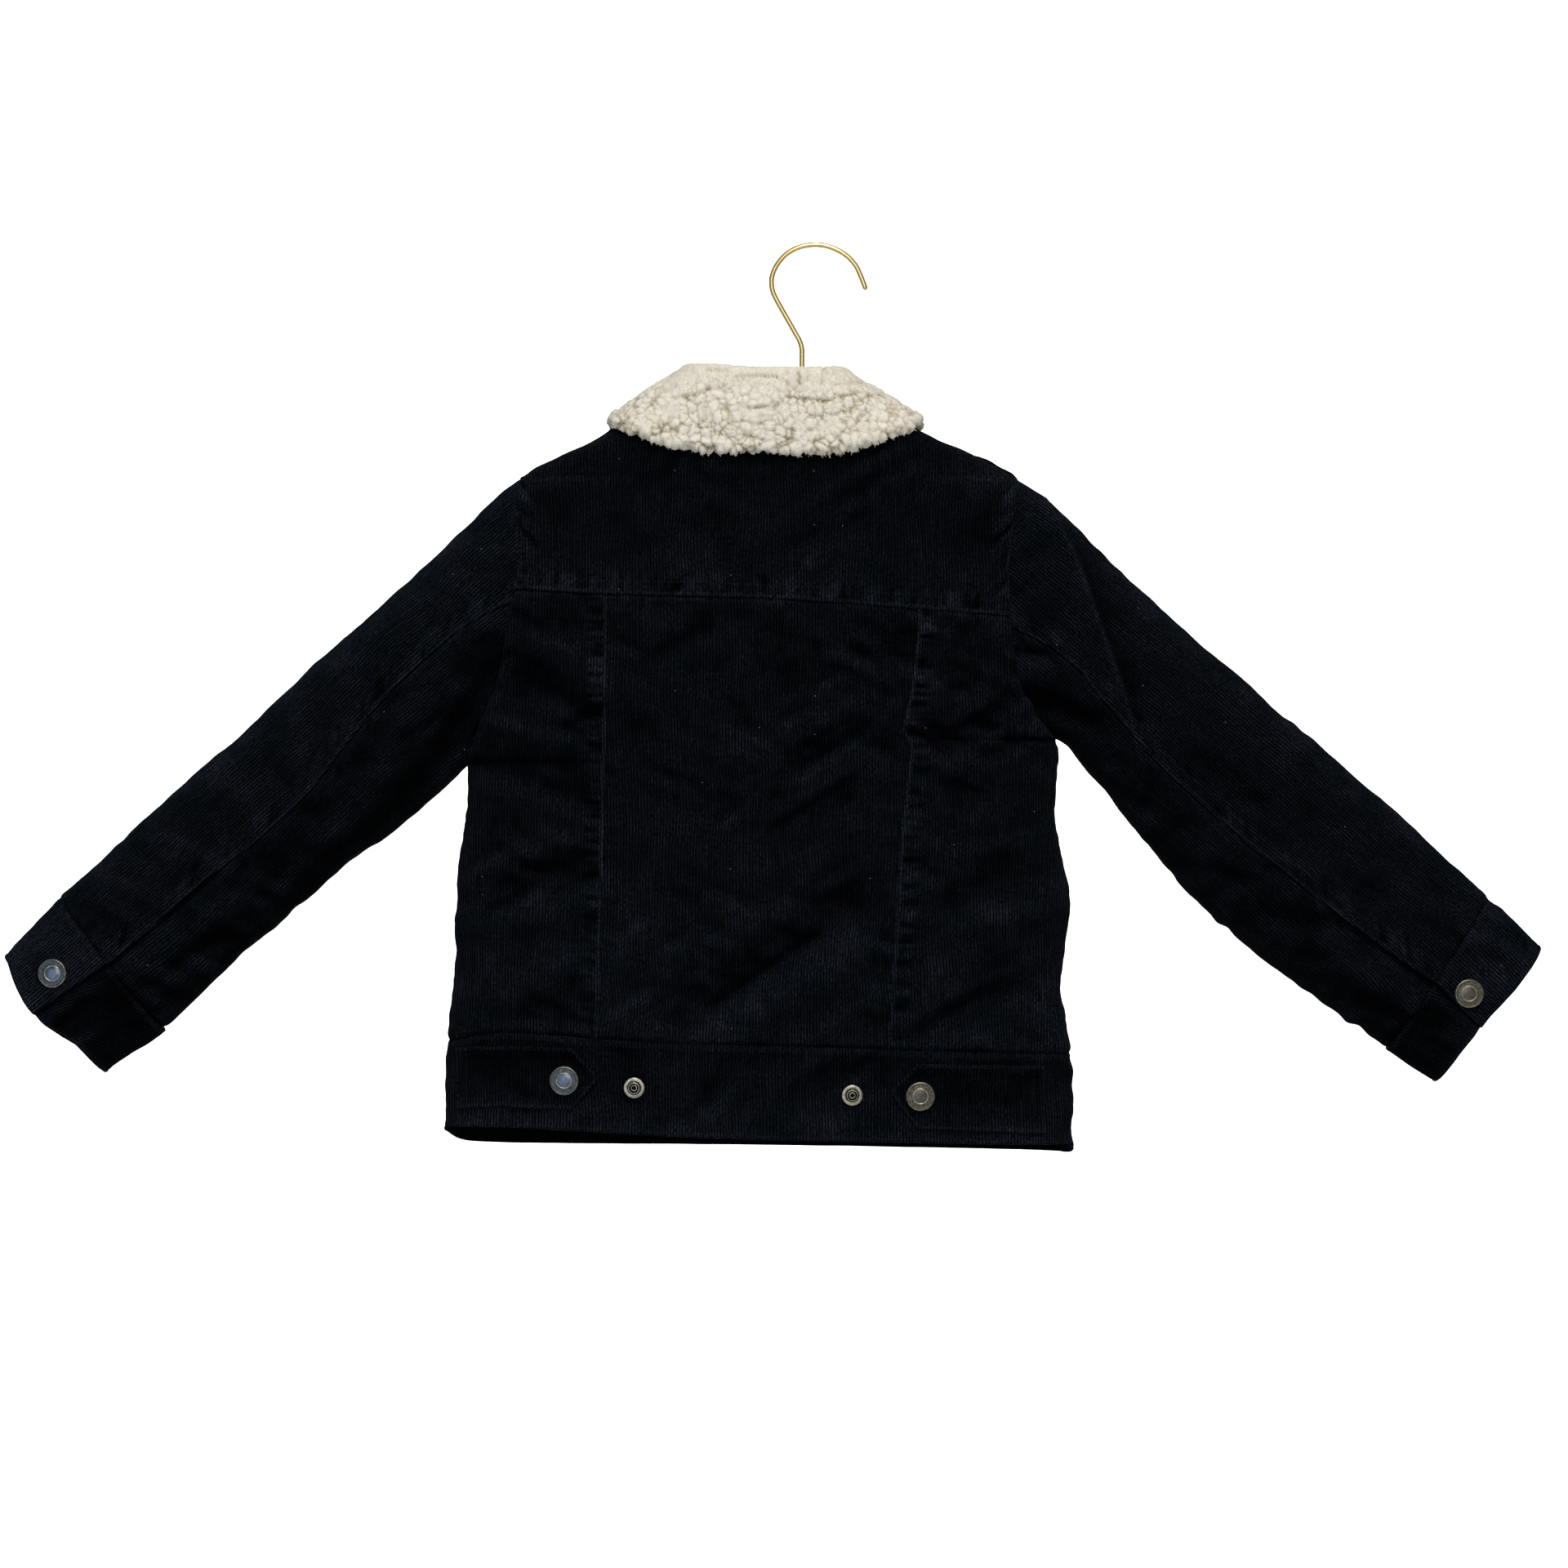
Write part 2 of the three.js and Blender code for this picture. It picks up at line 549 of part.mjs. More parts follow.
// The way out of the cloth at the neckline, in the cloth's own plane and square to its edge
function neckRise(share, sign) {
  const [face, angle, z] = neckPlace(share, sign);
  const at = (da, dz) => bodyPoint(face, angle + da, z + dz, BODY_WALL / 2);
  const out = at(0.02, 0).sub(at(-0.02, 0)).cross(at(0, 1).sub(at(0, -1)));
  const beside = (step) => bodyPoint(...neckPlace(share + step, sign), BODY_WALL / 2);
  const run = beside(0.01).sub(beside(-0.01));
  const rise = out.cross(run).normalize();
  return rise.z < 0 ? rise.negate() : rise;
}

// The middle of the collar's thickness. t runs from -1 at the front by the wearer's left, round the back, to 1.
function collarLine(t) {
  const row = collarRow(t);
  const sign = Math.sign(t) || 1;
  const face = Math.abs(t) <= 0.5 ? -1 : 1;
  const steep = face < 0 ? 0 : THREE.MathUtils.smoothstep(2 * Math.abs(t) - 1, 0, 0.18);
  const rise = new THREE.Vector3(0, 0, 1);
  if (steep > 0) rise.lerp(neckRise(Math.abs(t), sign), steep).normalize();
  const base = bodyPoint(...neckPlace(Math.abs(t), sign), BODY_WALL / 2);
  const ahead = THREE.MathUtils.clamp((Math.abs(t) - 0.5) / 0.035, 0, 1);
  base.addScaledVector(rise, mix(SEAM_GAP, COLLAR_FRONT_GAP, ahead));
  const fold = new THREE.Vector3(NECK_MIDDLE_X + sign * row.foldX, face * row.foldY, row.foldZ - COLLAR_THICK / 2);
  fold.z += COLLAR_TILT * sign * row.foldX;
  // the neck ring is about twice as wide as deep, so its way out is steeper front to back
  const out = new THREE.Vector3(sign * row.foldX, face * row.foldY * 2, 0).normalize();
  const edgeAngle = Math.PI / 2 - sign * THREE.MathUtils.degToRad(row.edgeTurn);
  const edge = bodyPoint(face, edgeAngle, row.edgeZ, 0);
  const beside = bodyPoint(face, edgeAngle + sign * 0.03, row.edgeZ, 0).sub(edge);
  const above = bodyPoint(face, edgeAngle, row.edgeZ + 2, 0).sub(edge);
  const lift = above.cross(beside).multiplyScalar(-face * sign).normalize();
  const overBand = face > 0 ? THREE.MathUtils.smoothstep(Math.abs(t), 0.8, 0.93) * (PLACKET_THICK + STRIP_GAP) : 0;
  const clear = COLLAR_CLEAR + COLLAR_THICK / 2 + overBand;
  edge.addScaledVector(lift, clear);
  const arc = [150, 110, 70, 30].map((degrees) => {
    const a = THREE.MathUtils.degToRad(degrees);
    const point = fold.clone().addScaledVector(out, COLLAR_FOLD * Math.cos(a));
    point.z += COLLAR_FOLD * (Math.sin(a) - 1);
    return point;
  });
  const crown = arc[arc.length - 1];
  const fall = [0.3, 0.65, 1].map((share) => {
    const bulge = Math.sin(share * Math.PI) * COLLAR_BULGE;
    const point = crown.clone().lerp(edge, share).addScaledVector(out, bulge);
    const cloth = Math.abs(bodyAt(face, point.x, Math.min(point.z, NECK_SIDE_Z), 0).y);
    point.y = face * Math.max(face * point.y, cloth > 1 ? cloth + clear : 0);
    return point;
  });
  const stand = base.clone().addScaledVector(rise, COLLAR_STAND_FOOT);
  return [base, stand, stand.clone().lerp(arc[0], 0.6), ...arc, ...fall];
}

function makeCollar() {
  const ts = [...COLLAR_STEPS.slice(1).reverse().map((t) => -t), ...COLLAR_STEPS];
  const lines = ts.map(collarLine);
  const normalAt = (i, k) => {
    const ahead = lines[Math.min(i + 1, ts.length - 1)][k];
    const behind = lines[Math.max(i - 1, 0)][k];
    const up = lines[i][Math.max(k - 1, 0)];
    const down = lines[i][Math.min(k + 1, lines[i].length - 1)];
    return ahead.clone().sub(behind).cross(down.clone().sub(up)).normalize();
  };
  const point = (offset) => (i, k) => lines[i][k].clone().addScaledVector(normalAt(i, k), offset);
  const us = ts.map((_, i) => i);
  const vs = lines[0].map((_, k) => k);
  wall("collar", us, vs, point(COLLAR_THICK / 2), point(-COLLAR_THICK / 2), SHERPA);
}

// A turned metal piece set on a surface, its back a seam's gap clear of the highest point below it
function seat(name, profile, surface, outward) {
  const radius = Math.max(...profile.map(([r]) => r));
  const geometry = new THREE.LatheGeometry(profile.map(([r, h]) => new THREE.Vector2(r, h)), 14);
  const centre = surface(0, 0);
  const normal = surface(1, 0).sub(centre).cross(surface(0, 1).sub(centre)).normalize();
  if (normal.dot(outward) < 0) normal.negate();
  let lift = 0;
  for (const degrees of evenly(12, 0, 330)) {
    const a = THREE.MathUtils.degToRad(degrees);
    for (const reach of [radius / 2, radius]) {
      const rim = surface(reach * Math.cos(a), reach * Math.sin(a));
      lift = Math.max(lift, rim.sub(centre).dot(normal));
    }
  }
  const mesh = addMesh(name, geometry, SNAP);
  mesh.position.copy(centre).addScaledVector(normal, lift + SEAM_GAP);
  mesh.quaternion.setFromUnitVectors(new THREE.Vector3(0, 1, 0), normal);
}

const CAP_PROFILE = [
  [0, 0], [CAP_RADIUS, 0], [CAP_RADIUS, 1.4], [7.5, 2.7], [6.6, 2.2], [4.3, 2.2], [3.9, 2.6], [0, 2.6],
];
const PLAIN_CAP_PROFILE = [[0, 0], [CAP_RADIUS, 0], [CAP_RADIUS, 1.4], [7.5, 2.7], [0, 2.7]];
const STUD_PROFILE = [
  [0, 0], [STUD_RADIUS, 0], [STUD_RADIUS, 0.9], [2.9, 1.4], [2.9, 3.6], [1.3, 3.6], [1.3, 1.6], [0, 1.6],
];

function makeSnaps() {
  const behind = new THREE.Vector3(0, -1, 0);
  const ahead = new THREE.Vector3(0, 1, 0);
  const onBody = (face, at, inset) => (dx, dz) => bodyAt(face, at.x + dx, at.z + dz, inset);
  for (const side of ["left", "right"]) {
    const tabTop = -STRIP_GAP - TAB_THICK;
    seat(`tab_cap_${side}`, CAP_PROFILE, onBody(-1, TAB_CAP[side], tabTop), behind);
    seat(`stud_${side}`, STUD_PROFILE, onBody(-1, STUD[side], 0), behind);
    const { along: share, across } = CUFF_CAP[side];
    const start = cuffSection(side, 0);
    const end = cuffSection(side, 1);
    const width = Math.hypot(start.topX - start.underX, start.topZ - start.underZ);
    const length = Math.hypot(start.topX - end.topX, start.topZ - end.topZ);
    const onCuff = (da, dc) => {
      const section = cuffSection(side, share + da / length);
      const angle = pressedAngle(1 - 2 * (across + dc / width), SLEEVE_ROUND);
      return sectionPoint(section, angle, 0).point;
    };
    seat(`cuff_cap_${side}`, CAP_PROFILE, onCuff, behind);
  }
  FRONT_CAP_HEIGHTS.forEach((z, i) => {
    const at = { x: NECK_MIDDLE_X, z };
    seat(`front_cap_${i + 1}`, PLAIN_CAP_PROFILE, onBody(1, at, -STRIP_GAP - PLACKET_THICK), ahead);
  });
  const waist = { x: NECK_MIDDLE_X, z: WAIST_CAP_Z };
  seat("front_cap_5", PLAIN_CAP_PROFILE, onBody(1, waist, 0), ahead);
}

function wire(name, points, steps, sides) {
  const path = new THREE.CatmullRomCurve3(points, false, "centripetal");
  const section = new THREE.Shape();
  for (let i = 0; i < sides; i += 1) {
    const a = (2 * Math.PI * i) / sides;
    const corner = [(WIRE / 2) * Math.cos(a), (WIRE / 2) * Math.sin(a)];
    if (i === 0) section.moveTo(...corner);
    else section.lineTo(...corner);
  }
  section.closePath();
  addMesh(name, new THREE.ExtrudeGeometry(section, { steps, extrudePath: path, curveSegments: 1 }), GOLD_WIRE);
}

// Hook with its stem, and the shoulder wire that lies under the inside of both shoulders
function makeHanger() {
  const hook = HOOK.map(({ x, z }) => new THREE.Vector3(x, 0, z));
  hook.push(new THREE.Vector3(STEM.x, 0, STEM.bottom));
  wire("hanger_hook", hook, 36, 8);
  const under = (side) => {
    const inward = side === "left" ? 1 : -1;
    return ARM_HEIGHTS.map((z) => {
      const ridge = (height) => along(BODY, "z", side, height) + inward * BODY_WALL;
      const slope = new THREE.Vector3(ridge(z + 1) - ridge(z - 1), 0, 2).normalize();
      const down = new THREE.Vector3(inward * Math.abs(slope.z), 0, -Math.abs(slope.x));
      return new THREE.Vector3(ridge(z), 0, z).addScaledVector(down, WIRE / 2 + STRIP_GAP);
    });
  };
  const apexZ = STEM.bottom - WIRE / 2 - SEAM_GAP;
  const bend = 14;
  const apex = [-bend, 0, bend].map((dx) => new THREE.Vector3(STEM.x + dx, 0, apexZ - Math.abs(dx) * 0.07));
  wire("hanger_arms", [...under("left").reverse(), ...apex, ...under("right")], 32, 6);
}

makeYoke();
makeLowerBack();
makeFronts();
makeWaistband();
makePlacketAndTabs();
makeSleeves();
makeCuffs();
makeCollar();
makeSnaps();
makeHanger();

export default jacket;
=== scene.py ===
"""Child's corduroy jacket with a sherpa collar, on a wire hanger: its looks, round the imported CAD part.

The cloth is formed in millimetres, on the forms of the part's source, and goes into its mesh in metres.
+X is the wearer's right and +Y the garment's front, so the camera at -Y sees its back.
"""

import math

import bpy
import numpy as np
from mathutils import Matrix, Vector


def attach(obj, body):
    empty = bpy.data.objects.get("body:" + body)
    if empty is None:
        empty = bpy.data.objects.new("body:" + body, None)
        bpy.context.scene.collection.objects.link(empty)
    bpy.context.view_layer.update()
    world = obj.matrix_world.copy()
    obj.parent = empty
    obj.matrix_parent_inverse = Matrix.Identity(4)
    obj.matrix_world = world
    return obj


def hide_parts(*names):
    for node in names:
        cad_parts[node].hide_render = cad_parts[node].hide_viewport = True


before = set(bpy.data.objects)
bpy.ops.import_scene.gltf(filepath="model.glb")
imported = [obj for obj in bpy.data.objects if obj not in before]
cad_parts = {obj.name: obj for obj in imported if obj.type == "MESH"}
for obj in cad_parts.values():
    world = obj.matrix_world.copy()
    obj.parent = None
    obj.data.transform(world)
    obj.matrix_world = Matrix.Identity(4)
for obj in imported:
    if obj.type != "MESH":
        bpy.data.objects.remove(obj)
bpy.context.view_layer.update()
bpy.ops.object.select_all(action="DESELECT")

MM = 0.001

# Camera and light

FRAME_WIDTH = 0.9143  # what the photograph takes in from side to side, where the cloth turns from sight
CAMERA_AWAY = 2.4
FRAME_Y = -0.005
FRAME_MIDDLE_X, FRAME_MIDDLE_Z = -0.0181, -0.3129
SENSOR = 36.0


def make_camera():
    data = bpy.data.cameras.new("camera")
    data.sensor_width = SENSOR
    data.lens = SENSOR * (CAMERA_AWAY + FRAME_Y) / FRAME_WIDTH
    data.clip_end = 100
    camera = bpy.data.objects.new("camera", data)
    camera.location = (FRAME_MIDDLE_X, -CAMERA_AWAY, FRAME_MIDDLE_Z)
    camera.rotation_euler = (math.radians(90), 0, 0)
    bpy.context.scene.collection.objects.link(camera)
    bpy.context.scene.camera = camera


LIGHTS_AIMED_AT = (-0.03, 0, -0.28)
LIGHTS = [  # name, place, what it is aimed at, width, watts and colour
    ("key_above", (0.1, -1.5, 1.25), LIGHTS_AIMED_AT, 0.9, 27, (1.0, 0.99, 0.97)),
    ("behind_camera", (0.1, -3.2, 0.35), LIGHTS_AIMED_AT, 1.6, 15, (1.0, 0.98, 0.95)),
    ("window_left", (-1.25, -3.4, -0.6), LIGHTS_AIMED_AT, 1.9, 9, (0.45, 0.7, 1.0)),
    ("paper_wash", (0, 1.8, 0.2), (0, 4.4, -0.3), 3.0, 170, (1.0, 1.0, 1.0)),
]
STUDIO_GLOW = 0.3


def make_light():
    for name, place, target, width, watts, tint in LIGHTS:
        data = bpy.data.lights.new(name, "AREA")
        data.shape = "DISK"
        data.size = width
        data.energy = watts
        data.color = tint
        light = bpy.data.objects.new(name, data)
        light.location = place
        light.rotation_euler = (Vector(target) - Vector(place)).to_track_quat("-Z", "Y").to_euler()
        light.visible_camera = False
        bpy.context.scene.collection.objects.link(light)
    world = bpy.data.worlds.new("studio")
    world.use_nodes = True
    world.node_tree.nodes["Background"].inputs["Color"].default_value = (1, 1, 1, 1)
    world.node_tree.nodes["Background"].inputs["Strength"].default_value = STUDIO_GLOW
    bpy.context.scene.world = world
    bpy.context.scene.view_settings.view_transform = "Standard"


make_camera()
make_light()

# Measures, as in the part's source, but for small changes that bring the hems, the sides, the collar's fold
# and edge, and the hook's bend nearer to the photograph

SEAM_GAP = 0.3
SEWN = 0.05  # the same gap as the eye sees it, with the two cloths pressed together
SLEEVE_TURNED_IN = 0.9
CUFF_TUCK = 0.6  # how far the top of a cuff runs up over its sleeve, so that no light comes through the seam
BODY_WALL, SLEEVE_WALL, CUFF_WALL = 4.0, 3.0, 3.4
BODY_ROUND, SLEEVE_ROUND = 2.8, 2.4
ARMHOLE_DEPTH, SHOULDER_TIP_Z = 18.0, -135.0
ARMPIT_Z = {"left": -300.0, "right": -287.0}
NECK_SIDE_Z, NECK_BACK_Z, NECK_FRONT_Z = -90.5, -95.0, -135.0
CHEST_Z = -173.0
NECK_MIDDLE_X = -28.5
FRONT_SEAM_SHARE = 0.72
COLLAR_THICK, COLLAR_FOLD, COLLAR_BULGE, COLLAR_STAND_FOOT = 5.6, 3.6, 2.0, 3.0
COLLAR_FRONT_GAP, COLLAR_CLEAR, COLLAR_TILT, COLLAR_END = 2.2, 1.0, -0.03, 0.975
STRIP_GAP = 0.5
PLACKET_TOP_Z, PLACKET_WIDTH, PLACKET_THICK = -142.0, 36.0, 1.6
TAB_THICK = 2.2
WIRE = 3.2
SHOULDER_CAP = {"left": 1.3, "right": 2.4}  # how far the sleeve head stands out over its seam

BODY = {
    "z": [-90, -98, -106, -113, -122, -132, -136, -160, -180, -205, -231, -259, -280, -290, -300, -330, -370,
          -400, -430, -465, -490, -530],
    "left": [-91, -105, -118.5, -130, -151, -168, -172.5, -171.5, -171.5, -174.5, -180, -187, -196.5, -200.5,
             -202.4, -204, -209, -210, -210.5, -214.5, -215.5, -216.5],
    "right": [34, 48, 61, 74, 95, 113, 118.5, 115.5, 113, 112.5, 115.5, 121, 134, 142.5, 142.5, 140, 147.5,
              147, 143.5, 148.5, 150.8, 149.8],
    "back": [21, 22, 22.5, 23, 23, 23.5, 23.5, 24.5, 25, 26, 27, 27.5, 28, 28, 28, 28, 27.5, 27, 26.5, 25,
             24.5, 24],
    "front": [21, 22, 22.5, 23, 23, 23.5, 24, 25, 26, 27, 28, 29, 29, 29, 29, 29, 28.5, 28, 27.5, 26, 25.5,
              25],
}
YOKE_SEAM = {"x": [-172, -120, -28, 59, 112], "z": [-200, -203, -205.5, -211.4, -215.5]}
BAND_SEAM = {"x": [-214, -184, -126, -82, -2, 71, 148], "z": [-462.5, -457, -460.5, -463, -465, -467.6, -470]}
BACK_HEM = {"x": [-214, -184, -140, -53, 60, 147], "z": [-512.5, -512, -514, -518.3, -521, -523]}
FRONT_HEM = {"x": [-217, -210, -200, -155, -30, 147], "z": [-514.5, -520.3, -522.8, -524.2, -525.5, -528]}
LEFT_BACK_SEAM = {"z": [-204, -240, -332, -461], "x": [-120.5, -120.3, -122, -125.8]}
RIGHT_BACK_SEAM = {"z": [-211, -291, -347, -411, -466], "x": [59, 54.3, 50, 45.2, 41]}

SECTION = ("topX", "topZ", "underX", "underZ", "seam", "depth")
SLEEVE = {
    "left": [
        (-172.8, -135, -202.4, -300, 0.43, 18), (-201, -160, -206, -304, 0.42, 18.5),
        (-232, -188.5, -212, -310.5, 0.41, 19), (-263, -217.6, -225, -322.5, 0.41, 19),
        (-295, -245.2, -247, -341, 0.47, 18.5), (-325, -274.3, -273, -361, 0.54, 18),
        (-352, -298.5, -300, -384, 0.55, 17.5), (-380, -322.5, -324, -404.5, 0.53, 17),
        (-405, -346.5, -346, -424, 0.52, 16.5), (-426, -366, -364.5, -442.5, 0.505, 16),
        (-441.5, -380, -380.5, -456.5, 0.495, 15),
    ],
    "right": [
        (118.3, -135, 143.2, -287, 0.57, 18), (149.5, -160, 147.8, -291.5, 0.61, 18.5),
        (176, -186, 153.5, -299, 0.64, 19), (204, -211.5, 165, -314, 0.65, 19),
        (232, -236.7, 184, -336.5, 0.66, 18.5), (260, -261, 204, -361, 0.635, 18),
        (290, -286.5, 228, -386, 0.62, 17.5), (320, -313, 256, -411, 0.6, 17),
        (350, -339, 286, -433, 0.595, 16.5), (375, -363, 313, -453, 0.575, 16),
        (393.5, -379.5, 334, -468, 0.56, 15),
    ],
}
CUFF_END = {"left": (-474, -414, -415, -482, 0.42, 14), "right": (426, -409, 364, -488.6, 0.6, 14)}

TAB = {
    "left": {"x": [-207, -195, -178, -158, -139.5, -125], "top": [-466, -465, -465, -465, -465.5, -481.5],
             "bottom": [-502, -501, -500.5, -501.4, -502, -485]},
    "right": {"x": [131.7, 108, 84, 58, 43], "top": [-476.4, -476, -475.4, -474.8, -490],
              "bottom": [-516.5, -515.3, -514.3, -513, -493.5]},
}

COLLAR = {
    "t": [0, 0.12, 0.25, 0.38, 0.44, 0.5, 0.56, 0.62, 0.75, 0.87, 0.975],
    "foldX": [0, 18, 33, 43.6, 45.8, 46.6, 46.6, 45.8, 40, 25.4, 8],
    "foldY": [25, 25, 23.5, 16, 8.5, 0, 8.5, 16, 23.5, 26.5, 27.5],
    "foldZ": [-71.5, -71, -70, -69.5, -70, -71, -75, -79, -88, -102, -119],
    "edgeTurn": [0, 6, 17.6, 38, 60, 90, 60, 38, 22, 13, 5.5],
    "edgeZ": [-117.5, -118, -116, -110.5, -106.2, -103, -108, -120, -148, -171, -160],
}
HOOK = [
    (29.8, -24.3), (27.2, -17.2), (24, -10.4), (19.6, -5.2), (14.3, -1.5), (7.6, 1.2), (0.2, 2.2),
    (-8.5, 0.9), (-16.3, -3), (-22, -9.3), (-24.9, -15.6), (-25.4, -20.8), (-24.4, -25.8), (-22.3, -30.3),
    (-19.8, -34.8), (-17.3, -39.2), (-14.9, -43.4), (-11.7, -49.1), (-8.9, -54.2), (-7.7, -58.6), (-7.6, -63),
    (-7.6, -70), (-7.6, -79), (-7.6, -88),
]
STEM_X, STEM_BOTTOM = -7.6, -88.0
ARM_HEIGHTS = (-110, -116, -121, -126)
APEX_REACH = 14
WIRE_POINTS = 260

# Folds and creases, as seen from the back: from a place to a place, how wide, and how far it stands out
BACK_FOLDS = [
    (-77, -451, 21, -383, 15, -5), (-174, -226, -119, -258, 13, 3), (-198, -378, -130, -360, 12, -3.5),
    (-175, -437, -145, -418, 12, 3), (84, -380, 124, -366, 12, -3.5), (81, -451, 119, -430, 12, -3.5),
    (86, -181, 110, -171, 14, -3),
]
BACK_CREASES = [
    (-98, -243, -63, -224, 7, -1.8), (-150, -379, -130, -368, 6, -1.6), (-60, -443, 0, -402, 5, -2.2),
    (-40, -447, 25, -412, 9, 2.0), (-84, -425, -20, -384, 10, 1.6), (-196, -362, -140, -345, 7, 1.6),
    (-198, -392, -150, -392, 6, 1.2), (70, -263, 119, -255, 9, 2.0), (74, -284, 132, -268, 7, -1.6),
    (92, -352, 136, -342, 6, 1.5), (86, -395, 140, -384, 6, 1.4), (78, -436, 140, -412, 6, 1.6),
    (90, -300, 138, -310, 8, 1.4), (-196, -300, -135, -322, 8, -1.8), (-190, -274, -130, -296, 8, 1.6),
    (-172, -250, -126, -276, 6, -1.4), (-30, -300, 30, -262, 14, 1.2), (-80, -330, -10, -300, 12, -1.2),
    (-110, -140, -70, -196, 12, 1.2), (20, -150, 48, -200, 12, -1.2), (-60, -160, -40, -200, 10, -0.9),
    (-205, -442, -150, -452, 6, -1.4), (-110, -454, -80, -440, 5, 1.4), (5, -456, 30, -440, 5, 1.2),
    (-170, -190, -140, -150, 9, -1.6), (100, -205, 112, -160, 8, 1.4),
]
BAND_CREASES = [
    (-73, -509, -53, -486, 6, -1.8), (-60, -506, -42, -484, 6, 1.2), (-10, -511, 2, -475, 7, 1.0),
    (-90, -508, -84, -474, 6, -1.0), (34, -512, 38, -480, 7, -1.0), (-215, -492, -206, -472, 8, 1.2),
]
FRONT_FOLDS = [
    (-170, -250, -110, -285, 14, -3.5), (-150, -430, -80, -380, 15, -4.5), (60, -400, 118, -370, 13, -3.5),
    (30, -262, 105, -230, 14, 3),
]
FRONT_CREASES = [
    (-160, -300, -90, -330, 9, 1.8), (-190, -360, -130, -352, 8, -1.6), (60, -320, 130, -300, 9, 1.8),
    (40, -440, 110, -420, 8, -1.6), (-120, -455, -70, -430, 8, 1.4), (-150, -190, -100, -235, 12, 1.2),
    (60, -180, 98, -225, 12, -1.4),
]
SLEEVE_FOLDS = [
    (-209, -262, -278, -342, 12, 3.5), (-290, -252, -288, -300, 11, -3), (-384, -332, -356, -351, 10, -2.5),
    (124, -240, 160, -262, 12, 3), (226, -300, 262, -330, 12, -2.5),
]
SLEEVE_CREASES = [
    (-278, -342, -316, -387, 8, 2.4), (-200, -282, -262, -346, 7, -2.6), (-186, -238, -218, -292, 6, -2.4),
    (-196, -222, -240, -276, 9, 1.8), (-230, -240, -262, -300, 8, -1.6), (-300, -262, -300, -318, 7, 1.6),
    (-318, -300, -286, -336, 7, -1.6), (-345, -310, -316, -345, 8, 1.4), (-372, -345, -340, -366, 5, 1.6),
    (-396, -352, -372, -372, 6, -1.4), (-420, -372, -400, -392, 5, 1.2), (-330, -379, -352, -398, 9, 3.0),
    (-345, -400, -372, -418, 6, -2.0), (-360, -420, -385, -436, 6, 1.6), (-250, -210, -276, -250, 10, 1.2),
    (121, -236, 139.5, -238, 5, -2.4), (126, -252, 156, -276, 6, -2.2), (136, -272, 172, -306, 6, 1.8),
    (150, -300, 196, -350, 6, -1.6), (160, -185, 186, -262, 10, -1.8), (196, -262, 232, -300, 9, 1.2),
    (246, -352, 292, -366, 7, 1.6), (262, -386, 320, -410, 6, -1.5), (276, -330, 300, -350, 8, -1.2),
    (300, -420, 330, -432, 6, 1.6), (336, -352, 362, -380, 7, -1.2), (356, -385, 384, -402, 5, 1.2),
    (318, -440, 344, -452, 6, -1.4),
]
# Where the right sleeve folds over itself
SHOULDER_FOLD = [(137.6, -150.5), (153, -181), (176, -247), (190, -290)]
CUFF_CREASES = [
    (-448, -392, -462, -412, 5, -1.0), (-392, -452, -410, -470, 6, 1.4), (-424, -440, -440, -456, 5, -1.2),
    (398, -386, 412, -408, 5, -1.0), (350, -470, 366, -478, 6, 1.4), (372, -446, 382, -470, 5, -1.0),
]

# Curves and noise


def mix(a, b, share):
    return a + (b - a) * share


def smoothstep(low, high, value):
    t = np.clip((value - low) / (high - low), 0, 1)
    return t * t * (3 - 2 * t)


def through(table, key, column, at):
    """A smooth curve through one column of a table, looked up by another."""
    keys, values = np.array(table[key], float), np.array(table[column], float)
    if keys[-1] < keys[0]:
        keys, values = keys[::-1], values[::-1]
    at = np.asarray(at, float)
    i = np.clip(np.searchsorted(keys, at, side="right") - 1, 0, len(keys) - 2)
    low = np.maximum(np.arange(len(keys)) - 1, 0)
    high = np.minimum(np.arange(len(keys)) + 1, len(keys) - 1)
    slope = (values[high] - values[low]) / (keys[high] - keys[low])
    span = keys[i + 1] - keys[i]
    t = np.clip((at - keys[i]) / span, 0, 1)
    rise = mix(values[i], values[i + 1], t * t * (3 - 2 * t))
    return rise + t * (1 - t) ** 2 * span * slope[i] - t * t * (1 - t) * span * slope[i + 1]


def pressed(angle, power):
    """A circle pressed flatter: power 2 is an ellipse, more is nearer to a box."""
    across, deep = np.cos(angle), np.sin(angle)
    return np.sign(across) * np.abs(across) ** (2 / power), np.sign(deep) * np.abs(deep) ** (2 / power)


def pressed_angle(across, power):
    across = np.clip(across, -1, 1)
    return np.arccos(np.sign(across) * np.abs(across) ** (power / 2))


class Girth:
    """Turns a way round a pressed section, in millimetres, into its angle and back, so that columns stand
    evenly."""

    def __init__(self, half, depth, power):
        even = np.linspace(-1, 1, 2001)
        side = np.unique(np.concatenate([np.linspace(0, np.pi, 2001), pressed_angle(even, power)]))
        self.angles = np.unique(np.concatenate([side + turn * np.pi for turn in range(-2, 4)]))
        across, deep = pressed(self.angles, power)
        ways = np.hypot(np.diff(across) * half, np.diff(deep) * depth)
        ways = np.concatenate([[0], np.cumsum(ways)])
        self.ways = ways - np.interp(0, self.angles, ways)

    def way(self, angle):
        return np.interp(angle, self.angles, self.ways)

    def angle(self, way):
        return np.interp(way, self.ways, self.angles)


body_girth = Girth(165, 27, BODY_ROUND)
sleeve_girth = Girth(65, 17, SLEEVE_ROUND)


